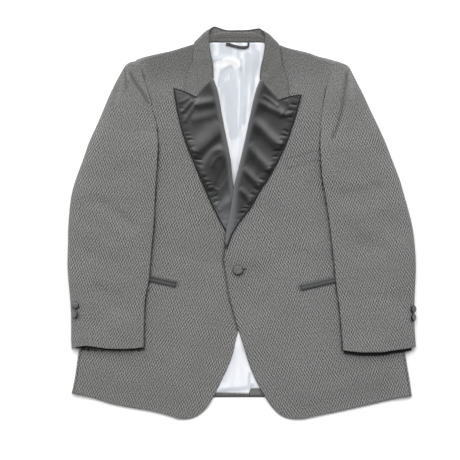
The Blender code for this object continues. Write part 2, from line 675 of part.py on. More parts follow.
for side, word in SIDES.items():
    sheet(f"back_{word}", steps(0, 1, 6), steps(0, 0.94, 12) + [0.965, 0.98, 1], back_place(side), WOOL, "wool")
    sheet(f"side_{word}", steps(0, 1, 5) + [1.4, 2.0], steps(0, 1, 8), side_place(side), WOOL, "wool")
    rows = steps(0, 1, 20) + [1.17, 1.33, 1.5, 1.67, 1.83, 2.0]
    front = sheet(f"front_{word}", FRONT_COLUMNS, rows, front_place(side), WOOL, "wool")
    bpy.context.view_layer.update()
    surface[side] = BVHTree.FromObject(front, bpy.context.evaluated_depsgraph_get())
    sheet(f"lapel_{word}", LAPEL_COLUMNS, steps(0, 1, 15), lapel_place(side), FACING, "satin")
    columns = steps(0, 1, 12) + [1.2, 1.4, 1.6, 1.8, 2.0]
    sheet(f"top_sleeve_{word}", columns, SLEEVE_ROWS, top_sleeve_place(side), WOOL, "wool")
    sheet(f"under_sleeve_{word}", steps(0, 1, 12), steps(0, 1, 12), under_sleeve_place(side), WOOL, "wool")

sheet("lining_back", LINING_COLUMNS, [0, 0.03] + steps(0.125, 1, 10), lining_place, LINING, "lining")
collar_rows = [-v for v in COLLAR_ROWS[:0:-1]] + list(COLLAR_ROWS)
sheet("collar_fall", COLLAR_COLUMNS, collar_rows, collar_place, WOOL, "wool")
sheet("collar_stand", [0, 0.3, 0.7, 1], steps(0, 1, 26), stand_place, WOOL, "wool")

for side, word in SIDES.items():
    start, end = POCKETS[side]
    upper = on_front_place(side, start, end, 0.2, 6.4, 0.35 + JET / 2)
    lower = on_front_place(side, start, end, -0.2, -6.4, 0.35 + JET / 2)
    sheet(f"jet_{word}_upper", [0, 0.5, 1], steps(0, 1, 8), upper, JET, "satin")
    sheet(f"jet_{word}_lower", [0, 0.5, 1], steps(0, 1, 8), lower, JET, "satin")

welt = on_front_place(1, *WELT, -22, 0, 0.35 + JET / 2)
sheet("breast_welt", [0, 0.5, 1], steps(0, 1, 5), welt, JET, "wool")

button("front_button", -9, -102, top_of(1, -9, -102, 10) + 0.3, 24, 5.5, 0.0, "wool")
for name, y, angle, more, rise in CUFF_BUTTONS:
    side = -1 if "right" in name else 1
    px, _, pz = sleeve_point(side, y, angle)
    qx, _, qz = sleeve_point(side, y, angle + 0.05)
    lean = abs(math.atan2(qz - pz, abs(qx - px)))
    away = WOOL / 2 + rise
    x = px + side * away * math.sin(lean)
    button(name, x, y, pz + away * math.cos(lean), 16.5, 4.5, side * (lean + more), "satin")

hanger_line = by_length(HANGER)


def hanger_place(u, v):
    x, y = hanger_line(v)
    return x, y + mix(-2.1, 2.1, u), 6.5 + 1.4 * math.sin(math.pi * v) - 0.3 * abs(2 * v - 1) ** 8


sheet("hanger_loop", [0, 1], steps(0, 1, 12), hanger_place, 1.0, "tape")
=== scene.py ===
import math

import bpy
import numpy as np
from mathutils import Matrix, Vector


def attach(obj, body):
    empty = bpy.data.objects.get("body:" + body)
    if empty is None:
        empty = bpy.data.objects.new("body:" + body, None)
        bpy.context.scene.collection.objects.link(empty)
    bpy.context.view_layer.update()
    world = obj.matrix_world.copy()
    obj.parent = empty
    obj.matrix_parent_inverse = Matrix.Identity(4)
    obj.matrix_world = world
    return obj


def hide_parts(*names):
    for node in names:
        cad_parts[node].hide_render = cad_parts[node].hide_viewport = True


# A dinner jacket laid flat on its back. Tables hold millimetres: the wearer's left is at plus X and the
# collar at plus Y. Where a table has two sides, minus 1 is the wearer's right.
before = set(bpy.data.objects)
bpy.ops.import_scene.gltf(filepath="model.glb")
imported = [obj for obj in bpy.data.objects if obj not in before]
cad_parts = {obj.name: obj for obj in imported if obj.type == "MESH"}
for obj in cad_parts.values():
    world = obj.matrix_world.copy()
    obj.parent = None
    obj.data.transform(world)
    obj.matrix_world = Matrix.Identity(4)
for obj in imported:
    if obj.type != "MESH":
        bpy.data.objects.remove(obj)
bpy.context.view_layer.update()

# Thickness of each cloth, gaps and turning radii that the pieces share
cloth = {
    "wool": 1.5, "facing": 2.0, "jet": 1.2, "seamGap": 0.3, "sideRadius": 4.0, "sideLip": 21.0,
    "shoulderRadius": 8.0, "neckRadius": 3.5, "neckLift": 1.8, "rollRadius": 2.9, "liningLevel": 2.5,
    "centreX": -12.0, "cuffY": -275.0, "sleeveTopY": 355.5, "toCentre": (0.02, -1.87, 0.01),
}
sides = {-1: "right", 1: "left"}


# Smooth curves through rows of points
def curvePoints(rows, smooth=16):
    p = np.array(rows, float)
    p = np.vstack([2 * p[0] - p[1], p, 2 * p[-1] - p[-2]])
    out = []
    for k in range(1, len(p) - 2):  # centripetal, so it never loops
        gaps = [math.sqrt(max(np.linalg.norm(p[k + n] - p[k + n - 1]), 1e-9)) for n in range(3)]
        t0, t1, t2, t3 = np.cumsum([0.0] + gaps)
        for t in np.linspace(t1, t2, smooth, endpoint=False):
            a = p[k - 1] + (p[k] - p[k - 1]) * (t - t0) / (t1 - t0)
            b = p[k] + (p[k + 1] - p[k]) * (t - t1) / (t2 - t1)
            c = p[k + 1] + (p[k + 2] - p[k + 1]) * (t - t2) / (t3 - t2)
            d = a + (b - a) * (t - t0) / (t2 - t0)
            e = b + (c - b) * (t - t1) / (t3 - t1)
            out.append(d + (e - d) * (t - t1) / (t2 - t1))
    out.append(p[-2])
    return np.array(out)


def reachAlong(points):
    lengths = np.linalg.norm(np.diff(points, axis=0), axis=1)
    return lengths, np.concatenate([[0], np.cumsum(lengths)])


def byLength(rows, dense=False):
    points = np.array(rows, float) if dense else curvePoints(rows)
    reach = reachAlong(points[:, :2])[1]
    reach /= reach[-1]
    return lambda s: np.stack([np.interp(s, reach, points[:, n]) for n in range(points.shape[1])], axis=-1)


def byHeight(rows, key=0):
    points = curvePoints(rows)
    points = points[np.argsort(points[:, key], kind="stable")]
    others = [n for n in range(points.shape[1]) if n != key]
    return lambda y: [np.interp(y, points[:, key], points[:, n]) for n in others]


def ease(t):
    t = np.clip(t, 0.0, 1.0)
    return t * t * (3 - 2 * t)


def mix(a, b, t):
    return a + (b - a) * t


def steps(start, stop, count):
    return list(np.linspace(start, stop, count + 1))


def runs(*parts):
    marks = steps(*parts[0])
    for part in parts[1:]:
        marks += steps(*part)[1:]
    return marks


def nearLine(rows, x, y):
    points = curvePoints(rows, 5)
    best = np.full_like(x, 1e9, dtype=float)
    for a, b in zip(points[:-1], points[1:]):
        step = b - a
        t = np.clip(((x - a[0]) * step[0] + (y - a[1]) * step[1]) / (step @ step), 0, 1)
        best = np.minimum(best, np.hypot(x - a[0] - t * step[0], y - a[1] - t * step[1]))
    return best


def lineShade(rows, x, y, width, power=2):  # 1 on the line, 0 well beside it
    return np.exp(-(nearLine(rows, x, y) / width) ** power)


# Fold rows: line, width on its left, width on its right, height, fade at the ends
def foldHeight(folds, x, y):
    total = np.zeros_like(x, dtype=float)
    for line, left, right, height, fade in folds:
        points = curvePoints(line, 6)
        lengths, reach = reachAlong(points)
        best = np.full_like(total, 1e9)
        signed, along = np.zeros_like(total), np.zeros_like(total)
        for k, length in enumerate(lengths):
            ax, ay = points[k]
            dx, dy = (points[k + 1] - points[k]) / length
            t = np.clip((x - ax) * dx + (y - ay) * dy, 0, length)
            away = np.hypot(x - ax - t * dx, y - ay - t * dy)
            nearer = away < best
            best = np.where(nearer, away, best)
            signed = np.where(nearer, dx * (y - ay) - dy * (x - ax), signed)
            along = np.where(nearer, reach[k] + t, along)
        width = np.where(signed > 0, left, right)
        ends = ease(np.minimum(along, reach[-1] - along) / fade + 0.15)
        total += height * ends * np.exp(-(best / width) ** 2)
    return total


def softNoise(x, y, size, seed):
    rng, waves = np.random.default_rng(seed), 9
    total = np.zeros_like(x, dtype=float)
    for _ in range(waves):
        turn, phase = rng.uniform(0, 2 * math.pi, 2)
        k = 2 * math.pi / (size * rng.uniform(0.7, 1.6))
        total += np.sin(k * (x * math.cos(turn) + y * math.sin(turn)) + phase)
    return total / math.sqrt(waves / 2)


def foldShadeAndHighlight(folds, x, y):  # narrow folds also get painted shade in their troughs and a painted highlight on their ridges, because light from the collar misses them
    height = foldHeight([row for row in folds if min(row[1], row[2]) < 7], x, y)
    return 0.17 * np.maximum(-height, 0) - 0.10 * np.maximum(height, 0)


def addObject(name, data):
    made = bpy.data.objects.new(name, data)
    bpy.context.scene.collection.objects.link(made)
    return made


def runLength(x, z, axis):  # distance along the cloth from its first row or column
    run = np.hypot(np.diff(x, axis=axis), np.diff(z, axis=axis))
    start = np.zeros_like(np.take(x, [0], axis=axis))
    return np.concatenate([start, np.cumsum(run, axis=axis)], axis=axis)


def gridMesh(name, columns, rows, place, thickness, unroll=""):
    u, v = np.meshgrid(np.array(columns, float), np.array(rows, float))
    x, y, z = (np.array(a, float) for a in place(u, v))
    points = (np.stack([x, y, z], axis=-1) + cloth["toCentre"]) / 1000
    index = np.arange(u.size).reshape(u.shape)
    quads = np.stack([index[:-1, :-1], index[:-1, 1:], index[1:, 1:], index[1:, :-1]], axis=-1).reshape(-1, 4)
    corner = points.reshape(-1, 3)[quads]
    facing = np.cross(corner[:, 1] - corner[:, 0], corner[:, 3] - corner[:, 0])
    if (np.sum(facing[:, 2]) < 0) != (unroll == "back"):
        quads = quads[:, ::-1]
    mesh = bpy.data.meshes.new(name)
    mesh.vertices.add(u.size)
    mesh.vertices.foreach_set("co", points.reshape(-1))
    mesh.loops.add(quads.size)
    mesh.loops.foreach_set("vertex_index", quads.reshape(-1))
    mesh.polygons.add(len(quads))
    mesh.polygons.foreach_set("loop_start", np.arange(len(quads)) * 4)
    mesh.polygons.foreach_set("use_smooth", np.ones(len(quads), bool))
    mesh.update(calc_edges=True)
    mesh.validate()
    # The map lays the cloth flat, so the weave keeps its size round a fold
    flatU, flatV = x.copy(), y.copy()
    if unroll == "across":
        reach, third = runLength(x, z, 1), u.shape[1] // 3
        way = np.sign(x[:, third] - x[:, 0])[:, None]
        flatU = x[:, third][:, None] + way * (reach - reach[:, third][:, None])
    if unroll == "along":
        flatV = y[0][None, :] + runLength(y, z, 0)
    flat = np.stack([flatU, flatV], axis=-1).reshape(-1, 2) / 1000
    layer = mesh.uv_layers.new(name="cut")
    layer.data.foreach_set("uv", flat[quads.reshape(-1)].astype(np.float32).reshape(-1))
    piece = addObject(name, mesh)
    wall = piece.modifiers.new("wall", "SOLIDIFY")
    wall.thickness = thickness / 1000
    wall.offset = 0.0
    return piece, u, v, x, y


def writeAttribute(piece, name, values):
    layer = piece.data.attributes.new(name, "FLOAT", "POINT")
    layer.data.foreach_set("value", values.astype(np.float32).reshape(-1))


def woolAttributes(piece, weave, shade=None):
    writeAttribute(piece, "weave", weave)
    writeAttribute(piece, "grain", 0.45 + 0.55 * ease(weave / 0.3))
    if shade is not None:
        writeAttribute(piece, "shade", np.clip(shade, -0.3, 1))


def weaveShare(y):  # the weave fades towards the shoulders, as in the photo
    return 1 - 0.7 * ease((y - 230) / 90)


def finish(piece, node, material):
    piece.data.materials.append(material)
    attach(piece, "root")
    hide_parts(node)


def addNode(tree, kind, inputs=(), **settings):
    made = tree.nodes.new(kind)
    for key, value in settings.items():
        setattr(made, key, value)
    for key, value in dict(inputs).items():
        socket = made.inputs[key]
        if isinstance(value, bpy.types.NodeSocket):
            tree.links.new(value, socket)
        else:
            socket.default_value = value
    return made


def calc(tree, operation, a, b=0.0, c=0.0):
    return addNode(tree, "ShaderNodeMath", {0: a, 1: b, 2: c}, operation=operation).outputs[0]


def attribute(tree, name):
    return addNode(tree, "ShaderNodeAttribute", attribute_name=name).outputs["Fac"]


def noise(tree, place, scale, detail, output="Fac"):
    return addNode(tree, "ShaderNodeTexNoise", {"Vector": place, "Scale": scale, "Detail": detail}).outputs[output]


def objectPlace(tree):
    return addNode(tree, "ShaderNodeTexCoord").outputs["Object"]


def ramp(tree, factor, rows):
    made = addNode(tree, "ShaderNodeValToRGB", {"Fac": factor})
    items = made.color_ramp.elements
    while len(items) < len(rows):
        items.new(0.5)
    for item, (place, colour) in zip(items, rows):
        item.position = place
        item.color = (*colour, 1.0)
    return made.outputs["Color"]


def mixColour(tree, share, first, second, clamp=True):
    colours = {0: share, 6: first, 7: (*second, 1.0)}
    return addNode(tree, "ShaderNodeMix", colours, data_type="RGBA", clamp_factor=clamp).outputs[2]


def startMaterial(name, roughness, specular):
    material = bpy.data.materials.new(name)
    material.use_nodes = True
    shader = material.node_tree.nodes["Principled BSDF"]
    shader.inputs["Roughness"].default_value = roughness
    shader.inputs["Specular IOR Level"].default_value = specular
    return material, material.node_tree, shader


def paint(tree, shader, colour, height, strength, distance):
    bump = addNode(tree, "ShaderNodeBump", {"Height": height, "Strength": strength, "Distance": distance})
    tree.links.new(colour, shader.inputs["Base Color"])
    tree.links.new(bump.outputs["Normal"], shader.inputs["Normal"])


# Two crossed gratings, in waves a metre, make the zigzag
wool = {
    "dark": (0.036, 0.036, 0.0355), "light": (0.235, 0.235, 0.231), "smooth": (0.127, 0.127, 0.1247),
    "shade": (0.006, 0.006, 0.006), "gratings": ((152.7, 110.0, -1), (188.0, 64.0, 1)), "wander": 0.0042,
    "weave": 0.92, "slub": 1.5, "threads": (1150.0, 980.0), "thread": 0.05, "cloud": 0.10, "bump": 0.25,
    "roughness": 0.92, "specular": 0.18, "sheen": 0.12,
    "wanderScale": 60.0, "patchScale": 26.0, "slubScale": 330.0, "cloudScale": 9.0,
}


def woolMaterial(name, mirror, tint=(1.0, 1.0, 1.0), brightness=1.0):
    material, tree, shader = startMaterial(name, wool["roughness"], wool["specular"])
    shader.inputs["Sheen Weight"].default_value = wool["sheen"]
    shader.inputs["Sheen Roughness"].default_value = 0.5
    uv = addNode(tree, "ShaderNodeUVMap", uv_map="cut").outputs["UV"]
    # The lines wander a little, and each grating comes and goes in patches
    shifted = {0: noise(tree, uv, wool["wanderScale"], 2.0, "Color"), 1: (0.5, 0.5, 0.5)}
    shifted = addNode(tree, "ShaderNodeVectorMath", shifted, operation="SUBTRACT").outputs[0]
    wander = {0: shifted, 1: (wool["wander"], wool["wander"], 0.0), 2: uv}
    moved = addNode(tree, "ShaderNodeVectorMath", wander, operation="MULTIPLY_ADD").outputs[0]
    across, along, _ = addNode(tree, "ShaderNodeSeparateXYZ", {0: moved}).outputs
    patches = addNode(tree, "ShaderNodeSeparateXYZ", {0: noise(tree, uv, wool["patchScale"], 1.0, "Color")})
    waves = []
    for n, (kx, ky, lean) in enumerate(wool["gratings"]):
        phase = calc(tree, "MULTIPLY", across, 2 * math.pi * kx * mirror)
        phase = calc(tree, "MULTIPLY_ADD", along, 2 * math.pi * ky * lean, phase)
        share = calc(tree, "MULTIPLY_ADD", patches.outputs[n], 3.0, -0.5)
        waves.append(calc(tree, "MULTIPLY", calc(tree, "SINE", phase), share))
    weave = calc(tree, "MULTIPLY_ADD", calc(tree, "ADD", *waves), 0.25, 0.5)
    fine = calc(tree, "MULTIPLY", *(calc(tree, "SINE", calc(tree, "MULTIPLY", way, 2 * math.pi * count))
                                    for way, count in zip((along, across), wool["threads"])))
    strength = calc(tree, "MULTIPLY", attribute(tree, "weave"), wool["weave"])
    level = calc(tree, "MULTIPLY", calc(tree, "SUBTRACT", weave, 0.5), strength)
    slub = calc(tree, "SUBTRACT", noise(tree, uv, wool["slubScale"], 3.0), 0.5)
    level = calc(tree, "MULTIPLY_ADD", slub, calc(tree, "MULTIPLY", attribute(tree, "grain"), wool["slub"]), level)
    level = calc(tree, "MULTIPLY_ADD", fine, wool["thread"], level)
    cloud = calc(tree, "SUBTRACT", noise(tree, uv, wool["cloudScale"], 2.0), 0.5)
    level = calc(tree, "ADD", calc(tree, "MULTIPLY_ADD", cloud, wool["cloud"], level), 0.5)
    rows = [(at, tuple(c * t * brightness for c, t in zip(wool[key], tint)))
            for at, key in ((0.0, "dark"), (0.5, "smooth"), (1.0, "light"))]
    colour = ramp(tree, level, rows)
    # The shade attribute mixes painted shade into the wool, and below zero a painted highlight
    colour = mixColour(tree, attribute(tree, "shade"), colour, wool["shade"], clamp=False)
    paint(tree, shader, colour, calc(tree, "MULTIPLY_ADD", fine, 0.25, level), wool["bump"], 0.0006)
    return material


# The band is a painted sheen on the satin, and painted shade in creases and edges takes reflection away
satin = {
    "dark": (0.0035, 0.0035, 0.0038), "light": (0.008, 0.0082, 0.0085), "band": (0.085, 0.089, 0.094),
    "roughness": 0.30, "specular": 0.64, "creaseLoss": -0.60, "bump": 0.10,
    "streakScale": 90.0, "streakTurn": 0.7, "cloudScale": 38.0, "threadScale": 700.0,
}


def satinMaterial(name):
    material, tree, shader = startMaterial(name, satin["roughness"], satin["specular"])
    place = objectPlace(tree)
    turned = {"Vector": place, "Rotation": (0, 0, satin["streakTurn"]), "Scale": (1.0, 9.0, 1.0)}
    turned = addNode(tree, "ShaderNodeMapping", turned).outputs[0]
    streak, cloud = noise(tree, turned, satin["streakScale"], 4.0), noise(tree, place, satin["cloudScale"], 3.0)
    level = calc(tree, "MULTIPLY_ADD", streak, 0.5, calc(tree, "MULTIPLY", cloud, 0.5))
    colour = ramp(tree, level, ((0.3, satin["dark"]), (0.7, satin["light"])))
    colour = mixColour(tree, attribute(tree, "band"), colour, satin["band"])
    tree.links.new(calc(tree, "MULTIPLY_ADD", cloud, 0.10, satin["roughness"]), shader.inputs["Roughness"])
    shine = calc(tree, "MULTIPLY_ADD", attribute(tree, "crease"), satin["creaseLoss"], satin["specular"])
    tree.links.new(shine, shader.inputs["Specular IOR Level"])
    thread = calc(tree, "MULTIPLY", noise(tree, turned, satin["threadScale"], 2.0), 0.3)
    paint(tree, shader, colour, calc(tree, "MULTIPLY_ADD", streak, 0.7, thread), satin["bump"], 0.0005)
    return material


# Colours from the painted shine down to the grey streaks
liningLook = {
    "colours": ((0.05, (0.84, 0.845, 0.85)), (0.35, (0.72, 0.72, 0.73)), (0.68, (0.68, 0.69, 0.715)),
                (1.0, (0.45, 0.475, 0.515))),
    "roughness": 0.42, "specular": 0.35, "liningShadeAndShine": 1.3, "bump": 0.12, "streakScale": 62.0, "threadScale": 900.0,
    "stretch": 0.16,
}


def liningMaterial(name):
    material, tree, shader = startMaterial(name, liningLook["roughness"], liningLook["specular"])
    place = objectPlace(tree)
    longer = {"Vector": place, "Scale": (1.0, liningLook["stretch"], 1.0)}
    longer = addNode(tree, "ShaderNodeMapping", longer).outputs[0]
    height = addNode(tree, "ShaderNodeSeparateXYZ", {0: place}).outputs[1]
    # Darker towards the collar, with stronger streaks there
    upper = calc(tree, "MULTIPLY_ADD", height, 0.2, 0.805)
    depth = calc(tree, "MAXIMUM", calc(tree, "MULTIPLY_ADD", height, 3.0, 0.35), 0.25)
    streak = calc(tree, "SUBTRACT", noise(tree, longer, liningLook["streakScale"], 3.0), 0.5)
    level = calc(tree, "MULTIPLY_ADD", streak, depth, upper)
    level = calc(tree, "MULTIPLY_ADD", attribute(tree, "liningShadeAndShine"), liningLook["liningShadeAndShine"], level)
    colour = ramp(tree, level, liningLook["colours"])
    paint(tree, shader, colour, noise(tree, longer, liningLook["threadScale"], 2.0), liningLook["bump"], 0.0004)
    return material


def threadMaterial(name, dark, light, scale=700.0, distortion=2.0, specular=0.15, roughness=0.7, depth=0.0003):
    material, tree, shader = startMaterial(name, roughness, specular)
    wave = {"Vector": objectPlace(tree), "Scale": scale, "Distortion": distortion}
    twist = addNode(tree, "ShaderNodeTexWave", wave).outputs["Fac"]
    paint(tree, shader, ramp(tree, twist, ((0.0, dark), (1.0, light))), twist, 0.3, depth)
    return material


# The zigzag is mirrored on the left half, with a slight tint on each
woolRight = woolMaterial("wool right half", 1, (1.004, 1.0, 0.992))
woolLeft = woolMaterial("wool left half", -1, (0.998, 1.0, 1.003))
woolCollar = woolMaterial("wool collar", 1, (1.0, 1.0, 0.99), 0.88)
woolStand = woolMaterial("wool collar stand", 1, (1.02, 0.99, 0.99), 0.76)
satinFacing = satinMaterial("satin facing")
liningSatin = liningMaterial("lining satin")
tapeBlack = threadMaterial("hanger tape", (0.010, 0.009, 0.010), (0.045, 0.040, 0.043), scale=420.0,
                           distortion=1.0, specular=0.5, roughness=0.6, depth=0.0004)
cordThread = threadMaterial("lapel edge cord", (0.004, 0.004, 0.004), (0.014, 0.014, 0.0145))
blackThread = threadMaterial("black silk thread", (0.006, 0.006, 0.007), (0.03, 0.03, 0.032))
woolOf = {-1: woolRight, 1: woolLeft}

# Outlines, rows x, y from the hem up or from the tip inwards
sideEdge = {
    -1: ((-375, -374), (-368, -340), (-359, -278), (-342, -168), (-317, -25), (-298, 112)),
    1: ((373, -380), (366, -333), (358, -287), (338, -168), (313, -25), (290, 112)),
}
armhole = {
    -1: ((-298, 112), (-255, 128), (-215, 146), (-194, 161), (-186, 178), (-186, 200),
         (-196, 236), (-207, 289), (-225, 331), (-240, 360.2)),
    1: ((290, 112), (245, 128), (204, 146), (183, 161), (174, 178), (172, 200),
        (176, 236), (184, 294), (197, 324), (215, 356.2)),
}
shoulder = {
    -1: ((-240, 360), (-225, 365.6), (-203, 371), (-181, 376), (-159, 380.6), (-137, 386.8), (-121, 391.6),
         (-103.5, 396.6)),
    1: ((215, 356), (193, 362.4), (171, 367.6), (149, 375.2), (127, 380.4), (105, 385.6), (94, 388.8),
        (78.5, 394)),
}
hem = {
    -1: ((-375, -374), (-335, -381.8), (-291, -395.6), (-247, -404.6), (-203, -412), (-170, -420), (-141, -429.6)),
    1: ((373, -380), (347, -382.4), (303, -392.6), (259, -402.6), (215, -412.4), (171, -421.4), (138, -429)),
}
frontEdge = {
    -1: ((-141, -430), (-126, -431), (-104, -426), (-80, -408), (-60, -375), (-45, -344), (-25, -300),
         (-14, -256), (-8, -230), (6, -168), (17, -91), (17, -60)),
    1: ((138, -430), (116, -431), (90, -426), (68, -408), (46, -376), (30, -346), (15, -311),
        (2, -267), (-10, -230), (-27, -168), (-37, -107), (-41, -80)),
}
neckEdge = {
    -1: ((-79, 318), (-90, 342), (-97, 366), (-100, 382), (-103.5, 391.8)),
    1: ((54, 318), (66, 342), (73, 366), (76, 382), (78.5, 390.2)),
}
rollLine = {
    -1: ((13, -40), (-3, 19), (-19, 78), (-26, 140), (-34, 182), (-45, 239), (-55, 294), (-63.5, 317.5)),
    1: ((-38, -50), (-35, -19), (-26, 25), (-18, 78), (-5, 133), (5, 177), (18, 239), (31, 294), (39, 315)),
}
lapelEdge = {
    -1: ((6, -58), (-14, -43), (-37, -13), (-62, 34), (-82, 78), (-108, 140), (-128, 193), (-141, 243),
         (-150, 297)),
    1: ((-36, -56), (-23, -23), (-5, 6), (17, 34), (39, 73), (57, 100), (83, 148), (98, 182),
        (111, 219), (129, 282)),
}
lapelTop = {
    -1: (((-150, 297), (-132, 291), (-115, 284), (-101, 277)), ((-101, 277), (-89, 294), (-63.5, 317.5))),
    1: (((129, 282), (116, 281), (103, 278), (81, 271)), ((81, 271), (61, 292), (39, 315))),
}
pockets = {-1: ((-146, -134), (-292, -101)), 1: ((129, -141), (275, -107))}
# Rows: y, middle line x, half width of the low strip, height of the low strip, height of the chest
bodyLoft = ((-430, -12, 95, 2.6, 7.6), (-375, -8, 58, 4.4, 9.4), (-300, -8, 32, 4.6, 10.2),
            (-230, -9, 18, 4.6, 11), (-168, -11, 26, 4.6, 11.6), (-91, -11, 32, 4.6, 12.2),
            (-36, -11, 34, 4.8, 12.6), (30, -14, 26, 5.6, 13.2), (78, -19, 16, 6.2, 13.8),
            (140, -15, 24, 6.8, 14.6), (239, -13, 44, 7.4, 15.2), (315, -13, 66, 8.2, 15.4),
            (392, -11, 90, 9.4, 15.6))
# The overlap lies higher over the hidden right front. Rows: y, height, then y, x of the edge underneath
overlapLift = ((-345, 0.4), (-300, 1.8), (-255, 2.4), (-110, 2.4), (-80, 5.2), (85, 5.2), (150, 0.9), (185, 0))
hiddenEdge = ((-345, -25), (-256, -5), (-168, 8), (-91, 19), (-41, 17), (19, 2), (78, -17), (185, -30))
# Rows: y up the unrolled strip, roll line x, fall edge x
collarStrip = {
    -1: ((270, -53.5, -116), (286, -56.2, -115.5), (300, -58.8, -115), (320, -63.2, -113.5), (338, -65.8, -111),
         (362, -69, -109), (382, -71.5, -107.8), (392, -72.6, -106.8), (402, -73, -106), (500, -73, -106)),
    1: ((270, 33, 105), (286, 35, 101), (300, 37, 98), (320, 42, 94), (338, 45, 90), (362, 48, 87),
        (380, 49, 84), (388, 49.5, 82), (398, 50, 81), (500, 50, 81)),
}
# Where the turned collar ends over the back of the neck: rows x, y
collarTop = ((-78, 430.4), (-64, 426.2), (-45, 425.4), (-10, 425.6), (20, 426.2), (42, 427.8), (60, 427.4))

sideX = {s: byHeight(sideEdge[s], 1) for s in sides}
shoulderLine = {s: byLength(shoulder[s]) for s in sides}
rollAt = {s: byLength(rollLine[s]) for s in sides}
bodyLoftAt, overlapLiftAt, hiddenEdgeAt = byHeight(bodyLoft), byHeight(overlapLift), byHeight(hiddenEdge)

bodyFolds = (
    (((28, -195), (52, -166), (74, -144)), 9, 16, -0.9, 14),
    (((-232, 349), (-223, 331), (-214, 314)), 4.5, 4.5, -1.7, 8),
    (((-210, 287), (-206, 276), (-204, 263)), 4, 4, -1.7, 6),
    (((43, -285), (65, -302), (92, -314)), 8, 14, -0.8, 12),
    (((-247, -327), (-203, -353), (-146, -371)), 18, 26, -1.3, 26),
    (((140, -362), (193, -346), (241, -327)), 18, 26, -1.3, 26),
    (((-14, -98), (-82, -85), (-163, -63)), 12, 22, -1.0, 26),
    (((8, -98), (83, -76), (160, -63)), 12, 22, -0.9, 26),
    (((-185, 41), (-168, -25), (-163, -102)), 16, 24, 0.8, 30),
    (((167, 74), (153, -3), (158, -85)), 16, 24, 0.8, 30),
    (((-170, 360), (-155, 294), (-141, 232)), 12, 20, -0.8, 22),
    (((153, 346), (138, 283), (127, 232)), 12, 20, -0.8, 22),
    (((-163, -168), (-181, -245), (-203, -311)), 14, 22, 0.7, 30),
    (((127, -168), (153, -245), (175, -305)), 14, 22, 0.7, 30),
)
frontShape = {
    "wall": 1.4, "ripple": 0.3, "fineRipple": 0.12, "hemHeight": 4.6, "hemWidth": 66, "riseWidth": 95,
    "sideWidth": 70, "overlapWidth": 60,
}
weltFoot = ((94, 142), (167, 162))  # where painted shade marks the breast pocket's mouth on the front
# How strong the painted shadows along lines on the fronts are; upper darkens the upper front by the armhole
frontShade = {
    "sleeve": 0.95, "lapel": 0.75, "peak": 0.6, "fall": {-1: 0.04, 1: 0.28}, "pocket": 0.35, "overlap": 0.62,
    "edge": 0.45, "welt": 0.4, "upper": {-1: 0.24, 1: 0.16},
}
# How strong the painted shadow along the armhole line is: height, share
seamShade = {
    -1: ((-300, 1), (200, 1), (236, 0.8), (250, 0.25), (264, 0.4), (280, 0.4), (288, 0.08), (300, 0.08),
         (315, 0.45), (340, 0.45), (352, 0)),
    1: ((-300, 1), (160, 1), (185, 0.55), (200, 0.3), (330, 0.25), (345, 0.1), (357, 0)),
}


def shoulderRadius(share):
    return (mix(cloth["shoulderRadius"], cloth["neckRadius"], ease(share)),
            cloth["neckLift"] * ease((share - 0.55) / 0.4))


def shoulderShare(side, x):
    tip, neck = shoulder[side][0][0], shoulder[side][-1][0]
    return np.clip((x - tip) / (neck - tip), 0.0, 1.0)


def sideEdgeX(side, y):
    return np.where(y > 112, sideEdge[side][-1][0] - 0.15 * side * (y - 112), sideX[side](y)[0])


def frontHeight(side, x, y):
    middle, half, low, high = bodyLoftAt(y)
    radius, lift = shoulderRadius(shoulderShare(side, x))
    atShoulder = cloth["wool"] / 2 + lift + 2 * radius
    high = mix(high, atShoulder, ease((y - 270) / 100))
    low = mix(low, atShoulder, ease((y - 330) / 50))
    z = mix(low, high, ease((np.abs(x - middle) - half) / frontShape["riseWidth"]))
    inside = side * (sideEdgeX(side, y) - x)
    atSide = cloth["wool"] / 2 + 2 * cloth["sideRadius"]
    blend = ease((inside - cloth["sideRadius"]) / frontShape["sideWidth"])
    z = mix(atSide, z, mix(blend, 1.0, ease((y - 90) / 60)))
    if side > 0:
        pastEdge = x - hiddenEdgeAt(y)[0] - 6
        z = z + overlapLiftAt(y)[0] * (1 - ease(pastEdge / frontShape["overlapWidth"]))
    return z


def frontSurface(side, x, y):
    inside = ease(side * (sideEdgeX(side, y) - x) / 30) * ease((352 - y) / 30)
    drape = foldHeight(bodyFolds, x, y) + frontShape["ripple"] * softNoise(x, y, 95, 3)
    drape = drape + frontShape["fineRipple"] * softNoise(x, y, 34, 4)
    hidden = ease(-x / 40) if side < 0 else 1.0
    return frontHeight(side, x, y) + drape * inside * mix(0.3, 1.0, hidden)


def frontTop(side, x, y, spread=0.0):
    best = frontSurface(side, x, y)
    if spread:
        for dx, dy in ((spread, 0), (-spread, 0), (0, spread), (0, -spread)):
            best = np.maximum(best, frontHeight(side, x + dx, y + dy))
    return best + cloth["wool"] / 2


def patchOf(left, right, bottom, top):  # fills the space between four edge lines
    corners = [f(np.array(v, float)) for f, v in ((left, 0), (right, 0), (left, 1), (right, 1))]

    def place(u, v):
        a, b = u[..., None], v[..., None]
        across = (1 - a) * left(v) + a * right(v)
        along = (1 - b) * bottom(u) + b * top(u)
        twist = (1 - a) * (1 - b) * corners[0] + a * (1 - b) * corners[1]
        return across + along - twist - (1 - a) * b * corners[2] - a * b * corners[3]

    return place


def rollFrame(side, v):  # a point on the roll line, the way out from it and the turning radius
    point = rollAt[side](v)
    along = rollAt[side](np.minimum(v + 0.02, 1)) - rollAt[side](np.maximum(v - 0.02, 0))
    along = along / np.linalg.norm(along, axis=-1, keepdims=True)
    away = np.stack([side * along[..., 1], -side * along[..., 0]], axis=-1)
    return point, away, mix(1.5, cloth["rollRadius"], ease((point[..., 1] - 74) / 90))


